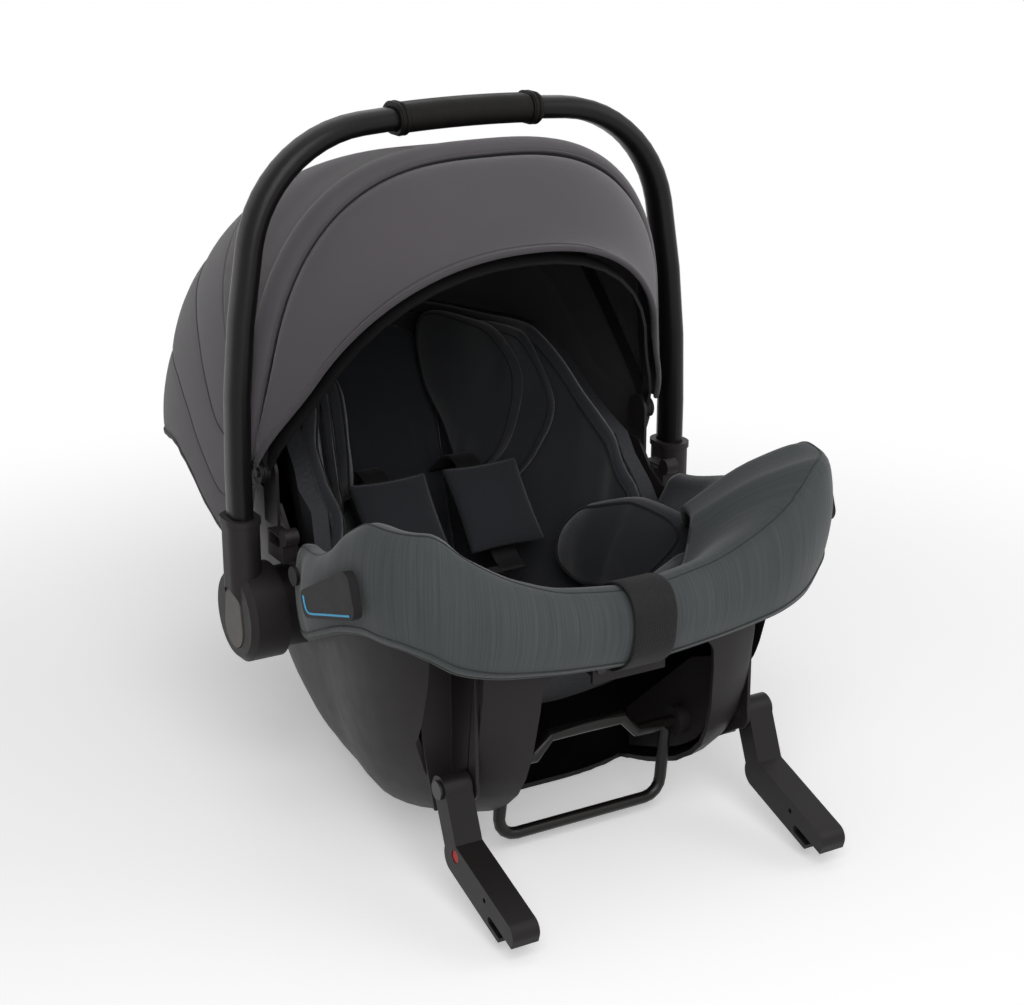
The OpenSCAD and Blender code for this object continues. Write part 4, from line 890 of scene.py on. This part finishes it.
def pad_steps(n):
    """Places from -1 to 1 that lie closer together near the ends."""
    return [math.sin(math.pi * (i / (n - 1) - 0.5)) for i in range(n)]


def square_ring(f, count=15):
    """Points in order round a square of half size f."""
    ends = list(np.linspace(-f, f, count))
    ring_pts = [(p, -f) for p in ends] + [(f, q) for q in ends[1:]] + [(p, f) for p in ends[::-1][1:]]
    return ring_pts + [(-f, q) for q in ends[::-1][1:-1]]


PAD_LIFT, PAD_CELLS, SEAM_REACH = 4.5, 27, 0.07
# Steps along the face for a pad's normals, wide enough to even out the seat's curves
EVEN_TURN, EVEN_CLIMB = 7.0, 0.05


class FacePad:
    """A padded piece on the seat's face. shape maps a point of a square with rounded corners to (u, t), and
    seams are lists of points of the square where the pad is sewn down."""

    def __init__(self, shape, thick, lift=PAD_LIFT, lip=4.0, rounded=0.8, seams=(), dome=3.0):
        self.shape, self.thick, self.lift, self.lip = shape, thick, lift, lip
        self.power, self.dome = 2 + 8 * (1 - rounded), dome
        self.seams = [np.array(seam) for seam in seams]

    def seam_distance(self, p, q):
        return min((np.hypot(seam[:, 0] - p, seam[:, 1] - q).min() for seam in self.seams), default=9.0)

    def height(self, p, q):
        crown = math.sqrt(max(0, 1 - max(abs(p), abs(q)) ** self.dome))
        h = self.lip + (self.thick - self.lip) * crown
        return h - (h - self.lip) * 0.4 * math.exp(-((self.seam_distance(p, q) / SEAM_REACH) ** 2))

    def at(self, p, q, h):
        """The point of the pad at a place in its square, h above its underside."""
        far = (abs(p) ** self.power + abs(q) ** self.power) ** (1 / self.power)
        k = max(abs(p), abs(q)) / far if far else 1.0
        u, t = self.shape(p * k, q * k)
        out = face_normal(u, t, EVEN_TURN, EVEN_CLIMB) * (self.lift + h)
        return clear_of_brackets(face_pt(u, t) + out, 10.0 + self.lift + h)

    def edge(self, f, sink=0.0):
        """A line round the pad's face, f of the way out from its middle."""
        return [self.at(p, q, self.height(p, q) - sink) for p, q in square_ring(f, 23)]

    def build(self, name, finish, fill, n=PAD_CELLS, cap=0.005):
        s = pad_steps(n)
        piece = Piece()
        loop = piece.slab([[self.at(p, q, self.height(p, q)) for p in s] for q in s],
                          [[self.at(p, q, 0.0) for p in s] for q in s])
        obj = piece.build(name, (finish,), None, "lining")
        cells = [(p, q) for q in s for p in s]
        sewn = [k for k, (p, q) in enumerate(cells) if self.seam_distance(p, q) < 0.06]
        stuff(obj, cap, sorted(set(loop + sewn)) + list(range(n * n, 2 * n * n)))
        return obj


def pipe(name, path, radius, finish, closed=True, slot="lining"):
    piece = Piece()
    piece.tube(path, radius, 0, 8, closed)
    return piece.build(name, (finish,), "seat", slot)


# The head pads' edges: turns from the seat's side by the height t up its face
LAYER_EDGE = [(0.57, 58), (0.64, 50), (0.77, 41), (0.92, 35), (1.0, 42)]
WING_EDGE = [(0.6, 61), (0.7, 53), (0.79, 48), (0.92, 45), (1.0, 51)]
WING_INNER = [(0.6, 68), (0.72, 70), (0.82, 74), (1.0, 75)]
LAYER_LOW, LAYER_INNER, WING_LOW, WING_LIFT = 0.57, 68, 0.6, 14.0
# Heights of the hip pads and seat edges
HIP_LOW, HIP_BY_U = 138.0, [(-36, 221), (-22, 226), (-8, 225), (8, 215), (26, 198)]
EDGE_LOW, EDGE_TOP = 104.0, 137.0
SMALL_CELLS = 19
CUSHION_HALF_W, CUSHION_FRONT, CUSHION_REAR, CUSHION_MID = 62, 44, 69, 5.0
# The harness in (y, z), from the upper to the lower end of its pads
HARNESS_TOP, HARNESS_LOW = (62.0, 238.0), (8.0, 176.0)
HARNESS_PAD_W, HARNESS_PAD_L, HARNESS_PAD_T, HARNESS_PAD_LIP = 72.0, 80.0, 15.2, 1.2


class CARRIER_OT_pads(bpy.types.Operator):
    """Builds the back panel, head wings, hip pads, seat cushion and harness pads"""

    bl_idname = "carrier.pads"
    bl_label = "Pads"

    def execute(self, context):
        self.back_panel()
        for side, mirror in SIDES:
            self.head_pads(side, mirror)
            self.hip_pad(side, mirror)
            self.edge_pads(side, mirror)
            self.harness_pad(side)
        self.seat_cushion()
        return {"FINISHED"}

    def back_panel(self):
        def back(x, y):
            return 90 + 17 * x, lerp(0.12, 0.95, 0.5 + 0.5 * y)

        cross = [(0.94 * sind(a), 0.60 + 0.09 * cosd(a)) for a in range(-90, 91, 6)]
        sides = [(k * 0.72, y / 20) for k in (-1, 1) for y in range(-18, 11)]
        pad = FacePad(back, 16, rounded=0.35, seams=(cross, sides))
        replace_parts(pad.build("back_panel", "lining", 0.55), "back_pad")
        pipe("back_panel_piping", pad.edge(0.985, 2.0), mm(sizes().piping_r), "thread")

    def head_pads(self, side, mirror):
        """The head insert's flat layer and the thick wing on it."""
        piping = mm(sizes().piping_r)

        def layer(x, y):
            t = lerp(LAYER_LOW, 1.0, 0.5 + 0.5 * y)
            turn = lerp(LAYER_INNER, keyed(LAYER_EDGE, t), 0.5 + 0.5 * x)
            return 90 - mirror * (90 - turn), t

        def wing(x, y):
            t = lerp(WING_LOW, 1.0, 0.5 + 0.5 * y)
            turn = lerp(keyed(WING_INNER, t), keyed(WING_EDGE, t), 0.5 + 0.5 * x)
            return 90 - mirror * (90 - turn), t

        pad = FacePad(layer, 8.0, lip=5.0, rounded=0.7)
        pad.build(side + "_head_layer", "lining", 0.6, cap=0.002)
        pipe(side + "_head_layer_piping", pad.edge(0.93), piping * 0.6, "thread")
        pad = FacePad(wing, mm(sizes().wing_t), lift=WING_LIFT, rounded=0.75)
        obj = pad.build(side + "_head_wing", "lining", 0.75)
        if side == "right":
            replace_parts(obj, "head_pad")
        pipe(side + "_head_wing_piping", pad.edge(0.95), piping * 0.7, "thread")

    def hip_pad(self, side, mirror):
        def hip(x, y):
            v = -5 - 31 * x
            u = v if mirror > 0 else 180 - v
            return u, face_t(u, lerp(HIP_LOW, keyed(HIP_BY_U, v), 0.5 + 0.5 * y))

        pad = FacePad(hip, mm(sizes().hip_t), lip=6.0, rounded=0.93, dome=2.0)
        obj = pad.build(side + "_hip_pad", "lining", 0.8)
        if side == "right":
            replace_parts(obj, "hip_pad")
        pipe(side + "_hip_pad_piping", pad.edge(0.9), mm(sizes().piping_r), "thread")

    def edge_pads(self, side, mirror):
        """The pads along the seat's side and in its front corner."""
        def edge(x, y):
            u = 90 - mirror * (102 + 22 * x)
            return u, face_t(u, lerp(EDGE_LOW, EDGE_TOP, 0.5 + 0.5 * y))

        def wedge(x, y):
            return 90 - mirror * (143 + 17 * x), lerp(0.66, 0.92, 0.5 + 0.5 * y)

        FacePad(edge, 12.0, rounded=0.6).build(side + "_seat_edge", "cushion", 0.6, SMALL_CELLS)
        FacePad(wedge, 15.0, rounded=0.9).build(side + "_front_pad", "cushion", 0.6, SMALL_CELLS)

    def seat_cushion(self):
        n = PAD_CELLS
        s = pad_steps(n)
        cells = [[(p * math.sqrt(1 - q * q / 2), q * math.sqrt(1 - p * p / 2)) for p in s] for q in s]

        def at(x, y, h):
            r = min(1.0, math.hypot(x, y))
            a = math.degrees(math.atan2(y, x))
            px, py = plan(a, CUSHION_HALF_W, CUSHION_FRONT, CUSHION_REAR)
            return np.array((px * r, lerp(CUSHION_MID, py, r), FACE_Z + PAD_LIFT + h))

        def crown(x, y):
            return 5 + 12.5 * max(0, 1 - (x * x + y * y) ** 2) ** 0.5

        piece = Piece()
        loop = piece.slab([[at(x, y, crown(x, y)) for x, y in row] for row in cells],
                          [[at(x, y, 0.0) for x, y in row] for row in cells])
        obj = piece.build("seat_cushion", ("cushion",), None, "lining")
        stuff(obj, 0.004, loop + list(range(n * n, 2 * n * n)))
        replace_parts(obj, "bottom_pad")
        rim = [at(cosd(a), sind(a), 3.0) for a in np.arange(0, 360, 4)]
        pipe("seat_cushion_piping", rim, 1.5, "cushion")

    def harness_pad(self, side):
        """A soft rectangle folded round the harness, with a piped edge."""
        low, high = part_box(side + "_harness_pad")
        mid = np.array([(a + b) / 2 / MM for a, b in zip(low, high)])
        tilt = math.degrees(math.atan2(HARNESS_TOP[1] - HARNESS_LOW[1], HARNESS_TOP[0] - HARNESS_LOW[0]))
        s = pad_steps(23)

        def at(p, q, k):
            crown = (max(0, 1 - abs(p) ** 3.2) * max(0, 1 - abs(q) ** 3.2)) ** 0.45
            x = HARNESS_PAD_W / 2 * p * (1 - 0.05 * (1 - q * q))
            y = HARNESS_PAD_L / 2 * q * (1 - 0.05 * (1 - p * p))
            z = k * lerp(HARNESS_PAD_LIP, HARNESS_PAD_T / 2, crown)
            return mid + np.array((x, y * cosd(tilt) - z * sind(tilt), y * sind(tilt) + z * cosd(tilt)))

        piece = Piece()
        loop = piece.slab([[at(p, q, 1) for p in s] for q in s], [[at(p, q, -1) for p in s] for q in s])
        obj = piece.build(side + "_shoulder_pad", ("lining",), None, "lining")
        stuff(obj, 0.003, loop)
        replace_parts(obj, side + "_harness_pad")
        pipe(side + "_shoulder_pad_piping", [at(p, q, 0) for p, q in square_ring(0.995)], 1.5, "thread")


# Collar

ELASTIC_Y = -118.0
COLLAR_COLS, COLLAR_RISE, COLLAR_FALL = 190, 24, 21


class CARRIER_OT_collar(bpy.types.Operator):
    """Builds the padded collar over the rim, with its ridge seam and bound hem"""

    bl_idname = "carrier.collar"
    bl_label = "Collar"

    def execute(self, context):
        count = COLLAR_RISE + COLLAR_FALL
        turns = [lerp(COLLAR_END, -180 - COLLAR_END, i / COLLAR_COLS) for i in range(COLLAR_COLS + 1)]
        outer, inner, seam, stitch, hem, inside = [], [], [], [], [], []
        for u in turns:
            line = collar_profile(u, COLLAR_RISE, COLLAR_FALL)
            d = np.gradient(line, axis=0)
            normal = np.stack((-d[:, 1], d[:, 0]), axis=1) / np.linalg.norm(d, axis=1, keepdims=True)

            def at(q, n, sink):
                return collar_at(u, *(q + n * sink))

            puffed = []
            for k, q in enumerate(line):
                f = k / (count - 1)
                soft = wrinkle((u * 0.04, f * 3, 4.2), 0.6) + 1.2 * math.sin(math.pi * f)
                crease = 1.3 * math.exp(-(((k - COLLAR_RISE + 1) / 0.9) ** 2))
                puffed.append(at(q, normal[k], crease - soft))
            outer.append(puffed)
            inner.append([at(q, n, COLLAR_T - 0.5) for q, n in zip(line, normal)])
            seam.append(puffed[COLLAR_RISE - 1])
            stitch.append(at(lerp(line[1], line[2], 0.4), normal[1], -0.7))
            hem.append(at(line[0], normal[0], COLLAR_T / 2))
            inside.append(at(line[-1], normal[-1], COLLAR_T / 2))
        ends = [[lerp(a, b, 0.5) for a, b in zip(outer[i], inner[i])] for i in (0, -1)]
        piece = Piece()
        swap = (1, 0, 2)
        piece.slab(np.transpose(outer, swap), np.transpose(inner, swap), 0, 1, 1)
        for k in range(COLLAR_RISE - 1, count - 1):
            for j, u in enumerate(turns[:-1]):
                if collar_plan(u)[1] > ELASTIC_Y:
                    piece.marks[k * COLLAR_COLS + j] = 2
        for path, radius, sides in ((seam, 0.7, 6), (stitch, 0.6, 6), (hem, 3.1, 8), (inside, 2.6, 8),
                                    (ends[0], 3.4, 8), (ends[1], 3.4, 8)):
            piece.tube(path, radius, 1, sides)
        obj = piece.build("collar_fabric", ("collar", "collar_trim", "lining"), "seat", "collar_fabric")
        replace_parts(obj, "collar_cover", "collar_hem")
        return {"FINISHED"}


# Straps


BUCKLE_Y, BUCKLE_Z, BUCKLE_TILT, BUCKLE_LOW = -18.0, 142.0, 28.0, 32.0
CUSHION_TOP_Z = FACE_Z + 23
ADJUSTER_Y, ADJUSTER_TOP, ADJUSTER_LOW = -SHELL_FRONT - COLLAR_OUT - 11, 246.0, 190.0


def strap(name, node, line, x, width, thick, count):
    """A flat webbing strap along points in a plane of constant X, with rounded selvedges."""
    path = smooth_line(line, count)
    d = np.gradient(path, axis=0)
    up = np.stack((-d[:, 1], d[:, 0]), axis=1) / np.linalg.norm(d, axis=1, keepdims=True)
    across = [-1, -0.97, -0.9, -0.5, 0, 0.5, 0.9, 0.97, 1]
    thin = [0.25, 0.7, 1, 0.9, 0.9, 0.9, 1, 0.7, 0.25]

    def rows(k):
        """One face of the strap, half its thickness along k from its middle."""
        half = [k * t * thick / 2 for t in thin]
        return [[(x + s * width / 2, p[0] + h * n[0], p[1] + h * n[1]) for p, n in zip(path, up)]
                for s, h in zip(across, half)]

    piece = Piece()
    piece.slab(rows(1), rows(-1))
    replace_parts(piece.build(name, ("webbing",), "seat", "webbing"), node)


class CARRIER_OT_straps(bpy.types.Operator):
    """Builds the harness straps, crotch strap and front adjuster strap"""

    bl_idname = "carrier.straps"
    bl_label = "Straps"

    def execute(self, context):
        self.harness()
        self.crotch()
        self.adjuster()
        return {"FINISHED"}

    def harness(self):
        """From the slots in the back, behind the pads and down to the buckle."""
        slot = face_pt(90, 0.56) + face_normal(90, 0.56) * 22
        behind = 10.0
        (top_y, top_z), (low_y, low_z) = HARNESS_TOP, HARNESS_LOW
        line = [(slot[1] - 6, slot[2] + 3), (lerp(slot[1], top_y, 0.5), 240)]
        line += [(top_y + behind, top_z - behind), (low_y + behind, low_z - behind), (-2, low_z - behind - 8)]
        for side, mirror in SIDES:
            strap(side + "_harness_webbing", side + "_harness_strap", line, mirror * 46.0, 25, 2.0, 40)

    def crotch(self):
        """From the cushion up to the buckle's lower end."""
        y, z = BUCKLE_Y + BUCKLE_LOW * sind(BUCKLE_TILT), BUCKLE_Z - BUCKLE_LOW * cosd(BUCKLE_TILT)
        line = [(y + 4, CUSHION_TOP_Z), (y + 2, lerp(CUSHION_TOP_Z, z, 0.4)), (y, z)]
        strap("crotch_webbing", "crotch_strap", line, 0, 30, 2.0, 16)

    def adjuster(self):
        """Over the collar's front and back under it to the cam."""
        over = [(63, -27), (50, -11), (36, -1.5), (20, 1.5), (7, -3), (0, -16)]
        line = [(ADJUSTER_Y + y, ADJUSTER_TOP + z) for y, z in over]
        line.append((ADJUSTER_Y - 1, (ADJUSTER_TOP + ADJUSTER_LOW) / 2))
        line += [(ADJUSTER_Y + 2, ADJUSTER_LOW + 6), (ADJUSTER_Y + 12, ADJUSTER_LOW - 6)]
        line += [(-SHELL_FRONT - 4, 176), (-SHELL_FRONT + 3.5, 173.5)]
        strap("adjuster_webbing", "adjuster_strap", line, 0, 38, 2.2, 70)


# Trim

GUIDE_TILT, GUIDE_Y, GUIDE_Z = -20.0, -168.0, 246.0
BELT_LINE = [(41.5, 3), (41.8, -5), (39.5, -10), (34, -11.4), (16, -12), (0, -12.6), (-16, -13.3), (-35, -14)]
COIL_WIRE, COIL_TURNS, COIL_STEPS, BUTTON_TRAVEL = 0.9, 4, 24, 3.7


class CARRIER_OT_trim(bpy.types.Operator):
    """Adds the coloured belt line on each guide and the coils in the hubs"""

    bl_idname = "carrier.trim"
    bl_label = "Trim"

    def execute(self, context):
        u = math.degrees(math.atan2(GUIDE_Y - PLAN_MID, SHELL_HALF_W))
        n = rim_normal(u)
        c, s = cosd(GUIDE_TILT), sind(GUIDE_TILT)
        for side, mirror in SIDES:
            normal = np.array((n[0] * mirror, n[1], 0))
            tangent = np.array((-n[1] * mirror, n[0], 0))
            face = self.face_of_guide(mirror, normal)
            path = []
            for a, b in smooth_line(BELT_LINE, 50):
                path.append(face + tangent * (a * c - b * s) + np.array((0, 0, GUIDE_Z + (a * s + b * c))))
            pipe(side + "_belt_line", path, 0.9, "trace", False, "accent")
            self.hub_coil(side, mirror)
        return {"FINISHED"}

    def hub_coil(self, side, mirror):
        """The spring behind a release button, which shortens as the button is pressed; here it is a fixed
        coil at rest length.
        """
        low, high = (np.array(corner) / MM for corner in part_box(side + "_hub_spring"))
        mid, span = (low + high) / 2, high[0] - low[0]
        seat_x = mid[0] - mirror * span / 2
        reach = (high[1] - low[1]) / 2 - COIL_WIRE
        path = []
        for i in range(COIL_TURNS * COIL_STEPS + 1):
            a = -360 * i / COIL_STEPS
            x = seat_x + mirror * lerp(COIL_WIRE, span - COIL_WIRE, i / (COIL_TURNS * COIL_STEPS))
            path.append((x, mid[1] + reach * cosd(a), mid[2] + reach * sind(a)))
        coil = pipe(side + "_hub_coil", path, COIL_WIRE, "steel", False, "steel")
        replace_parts(coil, side + "_hub_spring")
        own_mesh(coil)

    def face_of_guide(self, mirror, normal):
        """The middle of a guide's outer face, in plan."""
        pts = np.array([v.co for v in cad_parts["belt_guides"].data.vertices]) / MM
        pts = pts[pts[:, 0] * mirror > 0]
        out = pts @ normal
        face = pts[out > out.max() - 0.3]
        mid = (face.min(axis=0) + face.max(axis=0)) / 2
        return np.array((mid[0], mid[1], 0.0)) - normal * 0.2


# Stage

# Name, place, aim, size in metres and power in watts
LAMPS = (("key_light", (-0.9, -2.0, 2.2), (0, 0, 0.25), 1.8, 33),
         ("fill_light", (2.2, -1.4, 1.6), (0, 0, 0.25), 2.0, 14),
         ("front_light", (-0.7, -2.3, 0.9), (0, 0, 0.3), 1.2, 12),
         ("top_light", (0.2, 0.2, 3.0), (0, 0, 0.2), 2.2, 10))
CAMERA_AT, CAMERA_AIM = (-0.792, -1.449, 0.800), (0.4724, 0.8182, -0.3277)
SENSOR_W = 36.0
FLOOR_HALF, FLOOR_NEAR, FLOOR_FAR = 9.0, 0.45, 1.1
FLOOR_GLOW, SKY_LIGHT = 0.34, 0.24
WHITE = (1, 1, 1, 1)


class CARRIER_OT_stage(bpy.types.Operator):
    """Sets the floor, soft lights, world and camera"""

    bl_idname = "carrier.stage"
    bl_label = "Stage"

    def execute(self, context):
        scene = context.scene
        scene.view_settings.view_transform = "Standard"
        self.floor(scene)
        for lamp in LAMPS:
            self.lamp(scene, *lamp)
        self.world(scene)
        cam = bpy.data.cameras.new("camera")
        cam.lens = sizes().lens
        cam.sensor_width = SENSOR_W
        obj = bpy.data.objects.new("camera", cam)
        scene.collection.objects.link(obj)
        obj.location = CAMERA_AT
        obj.rotation_euler = Vector(CAMERA_AIM).to_track_quat("-Z", "Y").to_euler()
        scene.camera = obj
        return {"FINISHED"}

    def lamp(self, scene, name, place, target, size, power):
        data = bpy.data.lights.new(name, "AREA")
        data.size, data.energy = size, power
        obj = bpy.data.objects.new(name, data)
        scene.collection.objects.link(obj)
        obj.location = place
        obj.rotation_euler = (Vector(target) - Vector(place)).to_track_quat("-Z", "Y").to_euler()

    def background_ray(self, tree):
        """1 for rays that show the background: seen straight, in gloss or through glass."""
        path = add(tree, "LightPath").outputs
        some = add(tree, "Math", {0: path["Is Camera Ray"], 1: path["Is Glossy Ray"]}, operation="ADD")
        every = add(tree, "Math", {0: some.outputs["Value"], 1: path["Is Transmission Ray"]}, operation="ADD",
                    use_clamp=True)
        return every.outputs["Value"]

    def floor(self, scene):
        """A pale floor that keeps the shadow near the seat and fades to white further out."""
        mesh = bpy.data.meshes.new("floor")
        corners = [(x * FLOOR_HALF, y * FLOOR_HALF, 0) for x, y in ((-1, -1), (1, -1), (1, 1), (-1, 1))]
        mesh.from_pydata(corners, [], [(0, 1, 2, 3)])
        obj = bpy.data.objects.new("floor", mesh)
        scene.collection.objects.link(obj)
        mat = bpy.data.materials.new("floor_white")
        mat.use_nodes = True
        tree = mat.node_tree
        tree.nodes.clear()
        body = add(tree, "BsdfDiffuse", {"Color": (0.86, 0.86, 0.86, 1)})
        ray = self.background_ray(tree)
        lift = add(tree, "Math", {0: ray, 1: FLOOR_GLOW}, operation="MULTIPLY")
        glow = add(tree, "Emission", {"Color": WHITE, "Strength": lift.outputs["Value"]})
        both = add(tree, "AddShader", {0: body.outputs["BSDF"], 1: glow.outputs["Emission"]})
        place = add(tree, "TexCoord").outputs["Object"]
        away = add(tree, "VectorMath", {0: place}, operation="LENGTH").outputs["Value"]
        fade = add(tree, "MapRange", {"Value": away, "From Min": FLOOR_NEAR, "From Max": FLOOR_FAR},
                   interpolation_type="SMOOTHSTEP")
        seen = add(tree, "Math", {0: fade.outputs["Result"], 1: ray}, operation="MULTIPLY")
        white = add(tree, "Emission", {"Color": WHITE, "Strength": 1.0})
        blend = add(tree, "MixShader", {0: seen.outputs["Value"], 1: both.outputs["Shader"],
                                        2: white.outputs["Emission"]})
        add(tree, "OutputMaterial", {"Surface": blend.outputs["Shader"]})
        mesh.materials.append(mat)

    def world(self, scene):
        world = bpy.data.worlds.new("studio")
        scene.world = world
        world.use_nodes = True
        tree = world.node_tree
        tree.nodes.clear()
        ray = self.background_ray(tree)
        strength = add(tree, "MapRange", {"Value": ray, "To Min": SKY_LIGHT, "To Max": 1.0})
        sky = add(tree, "Background", {"Color": WHITE, "Strength": strength.outputs["Result"]})
        add(tree, "OutputWorld", {"Surface": sky.outputs["Background"]})


OPERATORS = (CARRIER_OT_stage, CARRIER_OT_carried_parts, CARRIER_OT_canopy, CARRIER_OT_seat_lining,
             CARRIER_OT_pads, CARRIER_OT_collar, CARRIER_OT_straps, CARRIER_OT_trim)


class CARRIER_PT_panel(bpy.types.Panel):
    """Lists the carrier's pieces"""

    bl_idname = "CARRIER_PT_panel"
    bl_label = "Infant Carrier"
    bl_space_type = "VIEW_3D"
    bl_region_type = "UI"
    bl_category = "Carrier"

    def draw(self, context):
        for operator in OPERATORS:
            self.layout.operator(operator.bl_idname)


CLASSES = (CarrierSizes, CarrierColours) + OPERATORS + (CARRIER_PT_panel,)


def register():
    for cls in CLASSES:
        bpy.utils.register_class(cls)
    bpy.types.Scene.carrier_sizes = PointerProperty(type=CarrierSizes)
    bpy.types.Scene.carrier_colours = PointerProperty(type=CarrierColours)


def unregister():
    del bpy.types.Scene.carrier_colours
    del bpy.types.Scene.carrier_sizes
    for cls in reversed(CLASSES):
        bpy.utils.unregister_class(cls)


def main():
    register()
    bpy.ops.carrier.stage()
    bpy.ops.carrier.carried_parts()
    bpy.ops.carrier.canopy()
    bpy.ops.carrier.seat_lining()
    bpy.ops.carrier.pads()
    bpy.ops.carrier.collar()
    bpy.ops.carrier.straps()
    bpy.ops.carrier.trim()


if __name__ == "__main__":
    main()
